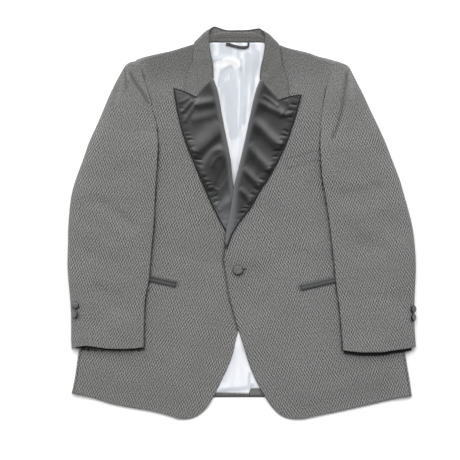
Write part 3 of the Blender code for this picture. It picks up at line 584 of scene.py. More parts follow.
def frontEdgeLine(side):  # up the cut edge, then inside the roll of the lapel, then up the neck
    rows = [tuple(p) for p in curvePoints(frontEdge[side])]
    for v in np.linspace(0, 1, 40):
        point, away, radius = rollFrame(side, np.array(v))
        rows.append(tuple(point + away * (radius + 1.4)))
    rows += [tuple(p) for p in curvePoints(neckEdge[side])[4:]]
    return byLength(rows, dense=True)


def frontPlace(side):
    inset = cloth["sideRadius"] + 0.5
    outer = [(float(sideEdgeX(side, y)) - side * inset, y) for y in np.linspace(sideEdge[side][0][1], 104, 60)]
    arm = [tuple(p) for p in curvePoints([(x - side * 1.0, y) for x, y in armhole[side][1:]])]
    reach = armhole[side][-1][1] - cloth["shoulderRadius"]
    left = byLength(outer + [p for p in arm if p[1] < reach], dense=True)
    right = frontEdgeLine(side)
    bottom = byLength([outer[0]] + list(hem[side][1:]))
    tip, neck = left(np.array(1.0)), right(np.array(1.0))
    line = shoulderLine[side]

    def top(u):
        down = np.stack([np.zeros_like(u), shoulderRadius(u)[0]], axis=-1)
        start = line(np.array(0.0)) - np.array([0, cloth["shoulderRadius"]])
        end = line(np.array(1.0)) - np.array([0, cloth["neckRadius"]])
        return line(u) - down + (tip - start) * (1 - u)[..., None] + (neck - end) * u[..., None]

    patch = patchOf(left, right, bottom, top)

    def place(u, v):
        point = patch(u, np.minimum(v, 1.0))
        radius, lift = shoulderRadius(shoulderShare(side, top(u)[..., 0]))
        x, y = point[..., 0], point[..., 1]
        angle = math.pi * np.maximum(v - 1.0, 0)
        z = frontSurface(side, x, y)
        fromHem = nearLine(hem[side][1:] + frontEdge[side][1:4], x, y)
        settle = (1 - ease(fromHem / frontShape["hemWidth"])) * ease((side * (sideEdgeX(side, y) - x) - 6) / 60)
        z = mix(z, np.minimum(z, frontShape["hemHeight"]), settle)
        turned = cloth["wool"] / 2 + lift + radius * (1 + np.cos(angle))
        return x, y + radius * np.sin(angle), np.where(v > 1, turned, z)

    return place


def makeFront(side, word):
    columns = runs((0, 0.9, 96), (0.9, 1, 20))
    rows = runs((0, 0.03, 10), (0.03, 0.93, 170), (0.93, 1, 22), (1, 2, 18))
    place = frontPlace(side)
    piece, u, _, x, y = gridMesh(f"front_panel_{word}", columns, rows, place, frontShape["wall"], "along")
    # Painted shadow on the front under the sleeve's inner edge, broken up along the seam
    inSleeve = side * (x - sleeveEdges[side](y)[1])
    broken = (0.8 + 0.3 * softNoise(x, y, 9, 61)) * np.interp(y, *zip(*seamShade[side]))
    under = ease(inSleeve / 5 + 1.1) * ease((y + 282) / 3) * ease((352 - y) / 4) * broken
    fallRows = [(side * fall, level) for level, _, fall in collarStrip[side] if 290 < level < 390]
    lines = [(frontShade["lapel"], lapelEdge[side], 2.0, 2), (frontShade["peak"], lapelTop[side][0], 1.8, 2),
             (frontShade["fall"][side], fallRows, 2.2, 2), (frontShade["pocket"], pockets[side], 9.0, 8)]
    if side < 0:
        lines.append((frontShade["overlap"], frontEdge[1][6:] + rollLine[1][:2], 2.8, 2))
    # Painted shadows along the lapel, peak, collar fall, jets and overlapping front, and painted shade at the open
    # edge and the breast pocket's mouth
    lineShadows, openEdgeShadow, welt = 0 * x, 0 * x, 0 * x
    for strength, line, width, power in lines:
        lineShadows = np.maximum(lineShadows, strength * lineShade(line, x, y, width, power))
    if side > 0:
        openEdgeShadow = frontShade["edge"] * np.exp(-((1 - u) * 300 / 1.6) ** 2) * ease((-60 - y) / 10)
        welt = frontShade["welt"] * lineShade(weltFoot, x, y, 1.3) * broken
    # The upper front is drawn darker beside the armhole
    upper = frontShade["upper"][side] * ease((y - 285) / 60) * ease(-inSleeve / 30)
    shade = frontShade["sleeve"] * under + openEdgeShadow + lineShadows + upper + welt + foldShadeAndHighlight(bodyFolds, x, y)
    woolAttributes(piece, weaveShare(y), shade)
    finish(piece, f"front_{word}", woolOf[side])


# Side strips and backs
backShape = {"wall": 1.4, "hemY": -382, "topY": 403, "sleeveGap": 3.0}


def sidePlace(side):
    start = cloth["seamGap"] / cloth["sideRadius"]
    first, last = sideEdge[side][0][1], sideEdge[side][-1][1]

    def place(u, v):
        y = mix(first, last, v)
        angle = mix(start, math.pi, np.minimum(u, 1.0))
        radius = cloth["sideRadius"]
        inset = radius * (1 - np.sin(angle)) + cloth["sideLip"] * np.maximum(u - 1.0, 0.0)
        return sideEdgeX(side, y) - side * inset, y, cloth["wool"] / 2 + radius * (1 + np.cos(angle))

    return place


def backPlace(side):
    centre, hemY, topY = cloth["centreX"], backShape["hemY"], backShape["topY"]
    inset = cloth["sideRadius"] + cloth["sideLip"] + 0.5
    seam = centre + side * cloth["seamGap"] / 2
    outer = [(float(sideEdgeX(side, y)) - side * inset, y) for y in np.linspace(sideEdge[side][0][1] - 1, 95, 30)]
    arm = []
    for y in np.linspace(150, 341, 24):
        outerX, innerX = sleeveEdges[side](y)
        arm.append((mix(outerX, innerX, sleeveLipAt(y)[0]) - side * backShape["sleeveGap"], y))
    arm[0] = (arm[0][0] - side * 3, arm[0][1])
    left = byLength(outer + arm, dense=True)
    right = byLength(((seam, hemY), (seam, 0), (seam, topY)))
    bottom = byLength((outer[0], (mix(outer[0][0], seam, 0.5), hemY), (seam, hemY)))
    under = []
    for share in (0.25, 0.5, 0.75, 0.9):
        point = shoulderLine[side](np.array(share))
        under.append((point[0], point[1] - shoulderRadius(share)[0] - 3.4))
    neckX = mix(under[-1][0], seam, 0.35)
    neck = [(neckX, 391.5), (mix(neckX, seam, 0.4), topY - 1.5), (seam, topY)]
    top = byLength([tuple(left(np.array(1.0)))] + under + neck)
    patch = patchOf(left, right, bottom, top)

    def place(u, v):
        point = patch(u, v)
        x, y = point[..., 0], point[..., 1]
        nearNeck = ease((y - 366) / 16) * ease((118 - np.abs(x - centre)) / 20)
        return x, y, cloth["wool"] / 2 + (cloth["neckLift"] + 0.05) * nearNeck

    return place


def makeSide(side, word):
    columns = runs((0, 1, 24), (1, 2, 4))
    place = sidePlace(side)
    piece, *_, y = gridMesh(f"side_panel_{word}", columns, steps(0, 1, 90), place, backShape["wall"], "across")
    woolAttributes(piece, weaveShare(y))
    finish(piece, f"side_{word}", woolOf[side])


def makeBack(side, word):
    place, wall = backPlace(side), backShape["wall"]
    piece, *_, y = gridMesh(f"back_panel_{word}", steps(0, 1, 40), steps(0, 1, 90), place, wall, "back")
    woolAttributes(piece, weaveShare(y))
    finish(piece, f"back_{word}", woolOf[side])


# Lapels
lapelFolds = {
    -1: (
        (((-38, 212), (-69, 184), (-91, 164), (-115, 148)), 11, 24, 3.8, 12),
        (((-25, 151), (-47, 160), (-64, 155), (-78, 133), (-84, 105), (-82, 69)), 25, 12, 3.2, 12),
        (((-31, 122), (-45, 100), (-58, 74)), 7, 9, -1.5, 10),
        (((-67, 122), (-58, 142), (-40, 151)), 4, 4, 0.6, 6),
        (((-14, 61), (-34, 43), (-58, 28)), 9, 11, 1.8, 8),
        (((-47, 270), (-80, 265), (-106, 261)), 9, 11, 2.4, 9),
        (((-49, 243), (-82, 234), (-115, 226)), 9, 10, 0.9, 10),
        (((-108, 272), (-122, 256), (-137, 239)), 4, 4.5, 0.9, 5),
        (((-100, 265), (-113, 245), (-128, 223)), 4, 5, 0.7, 5),
        (((-115, 278), (-128, 270), (-144, 263)), 4, 4, 0.5, 4),
    ),
    1: (
        (((17, 230), (39, 210), (61, 188), (92, 164)), 13, 11, 3.9, 16),
        (((8, 177), (26, 153), (46, 131), (74, 105)), 12, 11, 3.8, 16),
        (((-1, 124), (21, 100), (48, 76)), 9, 8, 2.6, 12),
        (((-9, 78), (8, 61), (24, 43)), 8, 7, 2.0, 10),
        (((30, 270), (61, 254), (94, 239)), 10, 8, 2.4, 10),
        (((43, 283), (61, 272), (81, 256)), 4, 5, 1.0, 6),
        (((83, 239), (98, 239), (116, 248)), 6, 5, 1.2, 5),
        (((96, 272), (103, 261), (109, 254)), 5, 5, 0.6, 4),
    ),
}
# Creases drawn as painted shade at the lower end of the right lapel
lapelCreases = (
    ((-73, 51), (-64, 55), (-53, 69)),
    ((-61, 32), (-51, 43), (-47, 54)),
    ((-50, 13), (-40, 19), (-28, 28)),
)
# bandLow rows: strength, height and fade of the painted sheen at the lower end. puckerDark, edgeDark and
# creaseDark are painted shade; shine adds painted sheen to a lapel
lapelShape = {
    "wall": 1.3, "gap": 0.75, "fold": 1.0, "pucker": 1.0, "ripple": 0.12, "puckerSpacing": 13.5,
    "lean": {-1: -0.1, 1: -0.15}, "rollReach": 34, "fromRoll": {-1: 19, 1: 24},
    "bandLow": {-1: (0.95, 0.2, 0.22), 1: (0.85, 0.1, 0.16)},
    "puckerDark": 0.55, "edgeDark": 0.45, "creaseDark": 0.62, "shine": {-1: 0.2, 1: -0.06},
}


def lapelTopLine(side):
    peak, gorge = byLength(lapelTop[side][0]), byLength(lapelTop[side][1])
    return lambda u: np.where((u <= 0.5)[..., None], peak(np.clip(2 * u, 0, 1)), gorge(np.clip(2 * u - 1, 0, 1)))


def lapelWidth(side, v):
    return np.linalg.norm(rollAt[side](v) - byLength(lapelEdge[side])(v), axis=-1)


def lapelSpan(side):
    return reachAlong(curvePoints(lapelEdge[side]))[0].sum()


def puckers(side, u, v):  # depth of the wave, and how far in from the stitched edge it reaches
    fromEdge, span = lapelWidth(side, v) * np.minimum(u, 1), lapelSpan(side)
    run = v * span + lapelShape["lean"][side] * fromEdge + 1.3 * softNoise(v * span, fromEdge, 30, 71)
    turn = 2 * math.pi * run / lapelShape["puckerSpacing"] + 1.3 * np.sin(v * 17 + side) + 0.7 * np.sin(v * 43)
    uneven = 0.62 + 0.38 * np.sin(v * 37 + 2 * side) * np.cos(v * 11)
    if side < 0:
        uneven = uneven * mix(1.0, 0.35, ease((v - 0.70) / 0.1))
    uneven = uneven * mix(0.3, 1.0, ease((v - 0.12) / 0.2))
    reach = ease((fromEdge - 1) / 5) * (1 - ease((fromEdge - 7 - 7 * uneven) / 10))
    return (0.5 + 0.5 * np.sin(turn)) ** 2.2 * uneven, reach


def lapelPlace(side):
    outer = byLength(lapelEdge[side])
    bottom = byLength((lapelEdge[side][0], rollLine[side][0]))
    patch = patchOf(outer, rollAt[side], bottom, lapelTopLine(side))

    def place(u, v):
        point, away, radius = rollFrame(side, v)
        foot = point + away * radius[..., None]
        low = frontHeight(side, foot[..., 0], foot[..., 1]) + (cloth["facing"] - cloth["wool"]) / 2
        angle = math.pi * np.maximum(u - 1, 0)
        turn = point + away * (radius * (1 - np.sin(angle)))[..., None]
        turnZ = low + radius * (1 + np.cos(angle))
        whole = lapelWidth(side, v)
        distance = whole * (1 - np.minimum(u, 1))
        shift = (radius * ease(1 - distance / 14))[..., None]
        flatPoint = patch(np.minimum(u, 1), v) + away * shift
        x, y = flatPoint[..., 0], flatPoint[..., 1]
        flat = frontTop(side, x, y, 5.0) + lapelShape["gap"] + cloth["facing"] / 2
        atRoll = low + 2 * radius
        target = np.where(distance > 6, np.maximum(atRoll, flat), atRoll)
        z = mix(flat, target, 1 - ease(distance / lapelShape["rollReach"]))
        fromTop = (1 - v) * lapelSpan(side)
        inner = ease(whole * np.minimum(u, 1) / 9) * ease((distance - 2) / lapelShape["fromRoll"][side])
        folds = np.maximum(foldHeight(lapelFolds[side], x, y), -0.5)
        z = z + folds * inner * ease(fromTop / 10) * lapelShape["fold"]
        wave, reach = puckers(side, u, v)
        z = z + lapelShape["pucker"] * (0.3 - wave) * reach * ease(fromTop / 12)
        z = z + lapelShape["ripple"] * softNoise(x, y, 34, 31) * inner
        return np.where(u > 1, turn[..., 0], x), np.where(u > 1, turn[..., 1], y), np.where(u > 1, turnZ, z)

    return place


def makeLapel(side, word):
    columns = runs((0, 0.12, 12), (0.12, 0.9, 44), (0.9, 1, 10), (1, 2, 14))
    place = lapelPlace(side)
    piece, u, v, x, y = gridMesh(f"lapel_facing_{word}", columns, steps(0, 1, 260), place, lapelShape["wall"])
    # Painted sheen beside the roll and across the lower end
    whole = lapelWidth(side, v)
    wide = mix(20.0, 6.5, ease(v / 0.45)) + 22 * (1 - ease(v / 0.2))
    band = np.exp(-(np.maximum(whole * (1 - u) - 2, 0) / wide) ** 2)
    strength, level, fade = lapelShape["bandLow"][side]
    band = np.maximum(band, strength * (1 - ease((v - level) / fade)))
    writeAttribute(piece, "band", np.where(u > 1.2, 0.7, mix(1.1, 0.6, ease(v / 0.6)) * band) * ease(v / 0.04))
    # Painted shade that takes reflection away at the stitched edge, in the puckers and in the creases
    wave, reach = puckers(side, u, v)
    dark = lapelShape["edgeDark"] * np.exp(-(whole * np.minimum(u, 1) / 1.6) ** 2)
    for line in lapelCreases if side < 0 else ():
        dark = np.maximum(dark, lapelShape["creaseDark"] * lineShade(line, x, y, 2.4))
    dark = np.maximum(lapelShape["puckerDark"] * wave * reach, dark)
    writeAttribute(piece, "crease", np.clip(dark, 0, 1) * (u < 1) - lapelShape["shine"][side])
    finish(piece, f"lapel_{word}", satinFacing)


# Sleeves. Rows: y, outer edge x, inner edge x
sleeve = {
    -1: ((-276, -375, -217), (-250, -376, -217), (-212, -376, -216), (-168, -378, -214), (-124, -382, -206),
         (-91, -384, -203), (-47, -383, -199), (-3, -382, -195), (63, -375, -192), (96, -366, -190),
         (140, -350, -187), (182, -335, -186), (217, -319, -190), (250, -305, -199), (283, -291, -206),
         (310, -278, -215), (331, -266.5, -223), (346, -257.8, -228), (351, -253, -228.6), (354.5, -247, -229),
         (357, -238, -229)),
    1: ((-279, 382, 222), (-250, 380, 220), (-212, 378.2, 217), (-168, 378.6, 212), (-124, 380.6, 206),
        (-91, 381.4, 203), (-47, 379, 198), (-3, 373, 193), (63, 355.6, 183), (96, 346, 177),
        (140, 329.2, 173), (182, 313, 172), (217, 297, 173), (250, 281, 178), (283, 266, 183),
        (310, 252, 190), (331, 241.5, 198), (342, 236, 202), (347, 231.5, 204), (351, 224, 204.5),
        (355.5, 212, 205)),
}
# Rows: y, crest height, outer fold height, rise of the inner edge over the front
sleeveLoft = ((-276, 22.5, 6.2, 4.2), (-150, 24, 6.8, 4.6), (0, 26, 7.6, 5.0), (110, 27, 8.4, 5.4),
              (200, 26, 8.9, 5.4), (290, 22.5, 8.9, 5.4), (330, 19.5, 8.8, 5.4), (357, 17.5, 8.75, 5.4))
# Rows: share of the way across, how far the cuff dips or rises there
cuffWave = {
    -1: ((0, -1), (0.1, 4), (0.2, 6), (0.35, 3), (0.5, 0), (0.7, -1), (0.85, 0), (1, 3)),
    1: ((0, 3), (0.15, -1), (0.35, -5), (0.5, -8), (0.7, -8.5), (0.85, -7), (1, -4)),
}
# How far the under sleeve shows below the cuff
underReach = {-1: 3.0, 1: 6.0}
# Rows: y, share of the width where the top sleeve ends underneath
sleeveLip = ((-280, 0.055), (0, 0.055), (36, 0.06), (60, 0.11), (82, 0.18), (107, 0.27), (140, 0.45),
             (177, 0.62), (217, 0.76), (254, 0.85), (294, 0.90), (324, 0.93), (357, 0.93))
# Rows: share of the width, y where the under sleeve ends
underTop = ((0.055, 30), (0.07, 42), (0.11, 60), (0.18, 82), (0.27, 105), (0.5, 122), (0.75, 140), (1, 156))
sleeveFolds = (
    (((-251, 338), (-236, 309), (-218, 283), (-205, 258)), 4, 4, -2.3, 12),
    (((-252, 351), (-253, 331), (-249, 311)), 3, 3, 1.7, 6),
    (((-256, 346), (-256, 324), (-255, 289)), 3.5, 3.5, -1.8, 9),
    (((-260, 320), (-266, 294), (-271, 256)), 5, 5, 1.1, 12),
    (((-271, 307), (-280, 280), (-289, 245)), 5, 5, -0.7, 16),
    (((-273, 289), (-287, 232), (-295, 179)), 9, 16, 1.2, 20),
    (((-331, 65), (-284, 32), (-223, -16)), 7, 17, -2.0, 18),
    (((-335, 38), (-295, 3), (-243, -43)), 10, 14, 0.9, 18),
    (((-348, 105), (-304, 100), (-256, 113)), 12, 18, -0.8, 18),
    (((-335, -135), (-300, -151), (-278, -168)), 10, 18, -1.5, 14),
    (((-278, -168), (-295, -204), (-326, -234)), 10, 16, -1.2, 14),
    (((-357, -58), (-317, -76), (-269, -85)), 14, 20, -0.8, 20),
    (((232, 338), (223, 276), (212, 221), (195, 179)), 4, 4, -2.4, 14),
    (((234, 346), (239, 316), (244, 267)), 5, 5, 1.3, 14),
    (((241, 307), (241, 250), (233, 193)), 9, 16, 1.0, 18),
    (((206, 61), (255, 69), (307, 87)), 9, 18, -1.5, 18),
    (((215, 21), (263, 25), (325, 38)), 12, 16, 0.9, 18),
    (((241, -28), (285, -50), (343, -58)), 10, 18, -1.0, 18),
    (((263, -151), (299, -168), (347, -164)), 12, 20, -1.2, 16),
    (((250, 162), (263, 118), (290, 82)), 12, 18, -0.8, 18),
)
# seamDark paints the shadow along the inner edge; cuffDark and underDark paint shade in the mouth of the cuff
sleeveShape = {
    "wall": 1.4, "corner": 2.7, "ripple": 0.45, "fineRipple": 0.15, "headRise": 2.8, "headHeight": 8.75,
    "lowest": 0.8, "seamDark": 0.62, "cuffDark": 0.5, "underDark": 0.93,
}
sleeveEdges = {s: byHeight(sleeve[s]) for s in sides}
sleeveLoftAt, sleeveLipAt, underTopAt = byHeight(sleeveLoft), byHeight(sleeveLip), byHeight(underTop)
cuffWaveAt = {s: byHeight(cuffWave[s]) for s in sides}


def ring(angle):
    c = np.sign(np.cos(angle)) * np.abs(np.cos(angle)) ** (2 / sleeveShape["corner"])
    return c, np.abs(np.sin(angle)) ** (2 / sleeveShape["corner"])


def ringAngle(c):
    return np.arccos(np.clip(np.sign(c) * np.abs(c) ** (sleeveShape["corner"] / 2), -1, 1))


def riseAngle(height, whole):
    return np.arcsin(np.minimum(height / np.maximum(whole, 1.0), 1.0) ** (sleeveShape["corner"] / 2))


def sleeveAt(side, y):  # outer edge, inner edge, crest, outer fold, height of the inner edge
    outer, inner = sleeveEdges[side](y)
    crest, fold, rise = sleeveLoftAt(y)
    over = frontHeight(side, inner, y)
    proud = 1 - ease((y - 150) / 55)
    innerZ = over + (cloth["wool"] + 1.0 + rise) * proud
    inner = inner + side * (0.7 * (1 - proud) - 1.8 * ease((y - 195) / 30) - 2.4 * ease((y - 318) / 26))
    return outer, inner, np.maximum(crest, innerZ + mix(3.0, 1.6, ease((y - 190) / 60))), fold, innerZ


def pocketLift(side, x, y):
    (ax, ay), (bx, by) = pockets[side]
    share = (x - ax) / (bx - ax)
    near = 1 - ease((np.abs(y - mix(ay, by, share)) - 14) / 20)
    return (cloth["jet"] + 0.9) * near * (1 - ease((share - 1.1) / 0.2))


def restHeight(side, x, y):  # what the under side of a sleeve lies on
    edge = sideEdgeX(side, y)
    outside = side * (x - edge)
    insideX = side * np.minimum(side * x, side * edge - cloth["sideRadius"])
    body = frontHeight(side, insideX, y) + cloth["wool"] / 2 + 1.0 + pocketLift(side, insideX, y)
    body = body + 0.9 * np.exp(-((outside - 2) / 16) ** 2)
    return body * (1 - ease((outside - 3) / 30))


def sleevePoint(side, y, angle, lip=False):  # a flattened ring: the angle runs from the outer fold over the crest
    outer, inner, crest, fold, innerZ = sleeveAt(side, y)
    c, s = ring(angle)
    x = (outer + inner) / 2 + (outer - inner) / 2 * c
    s = np.where((angle >= 0) & (c < 0), mix(s, 1 - np.abs(c) ** 1.9, ease((y - 160) / 60)), s)
    above = mix(np.where(c > 0, fold, innerZ), crest, s)
    drape = foldHeight(sleeveFolds, x, y) + sleeveShape["ripple"] * softNoise(x, y, 80, 11)
    drape = drape + sleeveShape["fineRipple"] * softNoise(x, y, 30, 12)
    above = above + drape * ease(1.6 * np.abs(np.sin(angle)) - 0.1) * ease((345 - y) / 30)
    bed = restHeight(side, x, y)
    low = s
    if lip:
        bed = bed * (1 - ease((y - 112) / 26))
        low = np.where(c < 0, 1.0, s)
    below = mix(np.where(c > 0, fold, innerZ), cloth["wool"] / 2 + bed, low)
    z = np.where(angle >= 0, above, below)
    depth = np.clip((cloth["sleeveTopY"] + 0.2 - y) / 7.0, 0.0, 1.0)
    squeeze = np.maximum(np.sqrt(1 - (1 - depth) ** 2), 0.16)
    middle = sleeveShape["headHeight"]
    z = np.where(y > 330, middle + (z - middle) * squeeze, z)  # closes the head of the sleeve
    nearCuff = np.exp(-(y - cloth["cuffY"]) / 45)
    share = (outer - x) / (outer - inner)
    rise = sleeveShape["headRise"] * ease((y - 340) / 15) * share
    return x, y + cuffWaveAt[side](share)[0] * nearCuff + rise, np.maximum(z, sleeveShape["lowest"])


def topSleevePlace(side):
    def place(u, v):
        y = mix(cloth["cuffY"], cloth["sleeveTopY"], v)
        _, _, crest, _, innerZ = sleeveAt(side, y)
        start = riseAngle(0.85, crest - innerZ)
        over = mix(math.pi - start, 0.0, np.minimum(u, 1))
        end = -ringAngle(1 - 2 * (sleeveLipAt(y)[0] - 0.008))
        under = end * (u - 1) - 1e-6
        return sleevePoint(side, y, np.where(u <= 1, over, under), lip=True)

    return place


def underSleevePlace(side):
    first = ringAngle(1 - 2 * (underTop[0][0] + 0.004))
    last = math.pi - riseAngle(1.15, 4.0)

    def place(u, v):
        angle = -mix(first, last, u)
        top = underTopAt((1 - ring(angle)[0]) / 2)[0] - 2.5
        return sleevePoint(side, mix(cloth["cuffY"] - underReach[side], top, v), angle)

    return place


def makeSleeve(side, word):
    wall = sleeveShape["wall"]
    columns = list((1 - np.cos(np.linspace(0, math.pi, 85))) / 2) + [1 + t for t in steps(0, 1, 28)[1:]]
    rows = runs((0, 0.04, 12), (0.04, 0.92, 160), (0.92, 0.985, 16), (0.985, 1, 12))
    place = topSleevePlace(side)
    piece, u, _, x, y = gridMesh(f"top_sleeve_{word}_cloth", columns, rows, place, wall, "across")
    # Painted shadow along the inner edge, painted shade in the cuff's mouth, and painted fold shade
    shade = sleeveShape["seamDark"] * np.exp(-(u / 0.016) ** 2) * np.interp(y, *zip(*seamShade[side]))
    shade = shade + sleeveShape["cuffDark"] * ease((u - 1.1) / 0.1) * ease((-262 - y) / 8)
    woolAttributes(piece, 0.93 - 0.68 * ease((y - 215) / 90), shade + foldShadeAndHighlight(sleeveFolds, x, y) * (u < 1))
    finish(piece, f"top_sleeve_{word}", woolOf[side])

    place = underSleevePlace(side)
    piece, *_, y = gridMesh(f"under_sleeve_{word}_cloth", steps(0, 1, 60), steps(0, 1, 100), place, wall, "back")
    # Painted shade in the cuff's mouth on the strip of under sleeve that shows
    woolAttributes(piece, weaveShare(y), sleeveShape["underDark"] * ease((y + 150) / -60))
    finish(piece, f"under_sleeve_{word}", woolOf[side])


for side, word in sides.items():
    print("panels", word)
    for make in (makeFront, makeSide, makeBack, makeLapel, makeSleeve):
        make(side, word)

print("lining")
# Rows: y, right edge x, left edge x
liningEdge = ((-374, -300, 298), (-200, -290, 288), (0, -268, 262), (110, -235, 228), (250, -180, 160),
              (350, -150, 128), (382, -104, 76), (399, -75, 51))
liningFolds = (
    (((-69, 358), (-47, 362), (-25, 362), (-9, 351), (-3, 338)), 6, 6, 1.5, 8),
    (((-51, 302), (-45, 327), (-31, 342), (-18, 344)), 4, 6, -1.2, 8),
    (((10, 377), (13, 338), (8, 289)), 5, 6, -1.1, 14),
    (((24, 382), (21, 327), (17, 250)), 5, 7, 1.2, 16),
    (((-29, 276), (-25, 206), (-14, 118)), 5, 8, -1.0, 20),
    (((2, 272), (-1, 206), (-7, 129)), 5, 7, 1.0, 20),
    (((-5, -234), (-14, -300), (-36, -371)), 6, 10, 1.0, 14),
    (((8, -267), (10, -322), (8, -371)), 5, 9, -1.0, 14),
)
# Painted fold shade in the lining, and painted shine where the strength is below zero: line, width on its left, on
# its right, strength, fade
liningFoldShading = (
    (((-71, 360), (-49, 365), (-27, 384)), 5, 5, 0.55, 8),
    (((-67, 346), (-36, 355), (-16, 353), (-5, 340)), 9, 9, -0.36, 14),
    (((-64, 382), (-58, 360), (-51, 327), (-47, 294)), 7, 7, -0.1, 10),
    (((-53, 298), (-45, 327), (-31, 343), (-20, 344)), 4, 7, 0.55, 8),
    (((-38, 316), (-29, 272), (-20, 184)), 13, 8, 0.40, 16),
    (((-3, 364), (-2, 327), (-2, 283), (-5, 206)), 2, 2, 0.45, 5),
    (((-2, 333), (-1, 318)), 3, 4, 0.5, 2),
    (((14, 377), (12, 338), (8, 289), (2, 217)), 4, 4, 0.45, 10),
    (((30, 382), (31, 360), (26, 338)), 7, 6, 0.5, 8),
    (((-64, 338), (-56, 294), (-40, 217), (-25, 140)), 5, 6, -0.5, 10),
    (((37, 327), (26, 272), (10, 195), (-3, 129)), 6, 5, -0.5, 10),
    (((-53, -370), (-27, -366), (8, -363), (28, -355)), 4, 3, 0.4, 6),
    (((17, -327), (15, -344), (17, -366)), 3, 3, 0.35, 4),
    (((-14, -267), (-23, -311), (-40, -355)), 8, 6, 0.12, 10),
)
liningEdges = byHeight(liningEdge)
liningShape = {
    "wall": 0.6, "hemY": -374, "topY": 398.5, "pleat": 1.2, "flat": 0.25, "pleatX": 18, "pleatWidth": 8,
    "ripple": 0.25,
}


def liningPlace(u, v):
    y = mix(liningShape["hemY"], liningShape["topY"], v)
    left, right = liningEdges(y)
    x = mix(left, right, u)
    step = ease((x - 15) / 4)
    y = y + mix(1.0 - 0.035 * (x + 60) * (x < 15), 10, step) * np.maximum(1 - v * 8, 0)
    raised = (cloth["neckLift"] + 0.1) * ease((y - 325) / 40)
    pleat = mix(liningShape["pleat"], liningShape["flat"], ease((y + 290) / 40))
    pleat = pleat * np.exp(-((x - liningShape["pleatX"]) / liningShape["pleatWidth"]) ** 2)
    opening = ease((y - 60) / 60) * ease((26 + (y - 120) * 0.12 - np.abs(x + 14)) / 10 + 0.6)
    low = ease((-215 - y) / 40) * ease((70 - np.abs(x + 10)) / 20)
    soft = foldHeight(liningFolds, x, y) + liningShape["ripple"] * softNoise(x * 2.2, y * 0.5, 40, 21)
    bottom = 1.1 * np.exp(-v * 773 / 5)
    return x, y, cloth["liningLevel"] + raised + pleat - bottom + np.maximum(soft * np.maximum(opening, low), -0.6)


columns = runs((0, 0.38, 24), (0.38, 0.62, 70), (0.62, 1, 24))
piece, *_, x, y = gridMesh("back_lining", columns, steps(0, 1, 210), liningPlace, liningShape["wall"])
writeAttribute(piece, "liningShadeAndShine", foldHeight(liningFoldShading, x, y))
finish(piece, "lining_back", liningSatin)

print("collar")
collarFolds = {
    -1: ((((-82, 360), (-91, 327), (-95, 294)), 10, 12, -0.5, 12),),
    1: ((((74, 391), (65, 360), (50, 322)), 6, 8, -1.2, 10), (((87, 382), (81, 355), (70, 320)), 6, 6, 0.5, 10)),
}
stripEdges = {s: byHeight(collarStrip[s]) for s in sides}
collarTopAt = byHeight(collarTop)
# The strip turns over at the back along x + y = corner
collarShape = {
    "wall": 1.3, "roll": 0.5, "edge": 0.4, "ripple": 0.3, "edgeDark": 0.45, "leftDark": 0.10, "turnRadius": 5.4,
    "corner": {-1: 504.4, 1: 476.0}, "gorgeShare": {-1: 0.26, 1: 0.22}, "slant": 31, "tuck": 3.2,
}


def collarPlace(u, v):
    result = []
    for side in sides:
        rollX = side * stripEdges[side](500)[0]
        r, corner = collarShape["turnRadius"], collarShape["corner"][side]
        top = corner - side * cloth["centreX"] + 0.807 * r
        peak, gorge = byLength(lapelTop[side][0]), byLength(lapelTop[side][1])
        foot = np.where((u <= 0.7)[..., None], gorge(np.clip(1 - u / 0.7, 0, 1)),
                        peak(np.clip(1 - (u - 0.7) / 0.3 * collarShape["gorgeShare"][side] * 2, 0, 1)))
        endX, end = foot[..., 0], foot[..., 1] + mix(2.3, 1.3, ease(u / 0.3))
        t = np.abs(v)
        level = mix(top, end, t)
        slant = ease(t / 0.2) * (1 - ease((t - 0.42) / 0.34))
        roll = stripEdges[side](np.minimum(level, 499))[0]
        fall = stripEdges[side](np.minimum(level - collarShape["slant"] * slant, 499))[1]
        width = np.abs(fall - roll)
        x = side * mix(mix(roll, fall, u), endX, ease((t - 0.6) / 0.4))
        y = level - width * u * slant
        away = width * u
        under = ((x + y) - (corner - r * math.sqrt(2))) / math.sqrt(2)  # how far a point lies past the turn
        inRoll = 1 - np.minimum(away / cloth["rollRadius"], 1.0)
        bend = 0.8 * cloth["rollRadius"] * (1 - np.sqrt(1 - inRoll ** 2))
        lowest = np.where(y < 384, frontTop(side, side * x, np.minimum(y, 380), 4.0), cloth["wool"] + 2 * r - 2.0)
        flatZ = mix(np.maximum(lowest, 9.0) + 0.6 + cloth["wool"] / 2, cloth["wool"] / 2 + 2 * r,
                    ease((under + 34) / 34)) - bend
        edge = collarShape["edge"] * np.exp(-(width * (1 - u) / 2.5) ** 2)
        soft = collarShape["ripple"] * softNoise(side * x, y, 30, 41)
        soft = soft + collarShape["roll"] * np.exp(-((away - 6) / 5) ** 2)
        soft = soft + foldHeight(collarFolds[side], side * x, y)
        flatZ = flatZ + (soft + edge) * ease(-under / 10)
        turned = np.clip(under / (math.pi * r), 0, 1.0)
        out = (r * np.sin(math.pi * turned) - np.maximum(under - math.pi * r, 0.0) - under) / math.sqrt(2)
        z = cloth["wool"] / 2 + r * (1 + np.cos(math.pi * turned)) + bend * mix(-1, 1, turned)
        out = out - collarShape["tuck"] * np.maximum(1 - away / 13, 0) ** 1.5 * np.sin(math.pi * turned)
        levelTop = corner - rollX + 0.807 * r
        settle = ease((under - 0.5 * math.pi * r) / 32)
        turnY = y + out + (collarTopAt(side * (x + out))[0] - levelTop) * settle
        flat = under <= 0
        result.append((side * np.where(flat, x, x + out), np.where(flat, y, turnY), np.where(flat, flatZ, z)))
    return tuple(np.where(v > 0, b, a) for a, b in zip(*result))


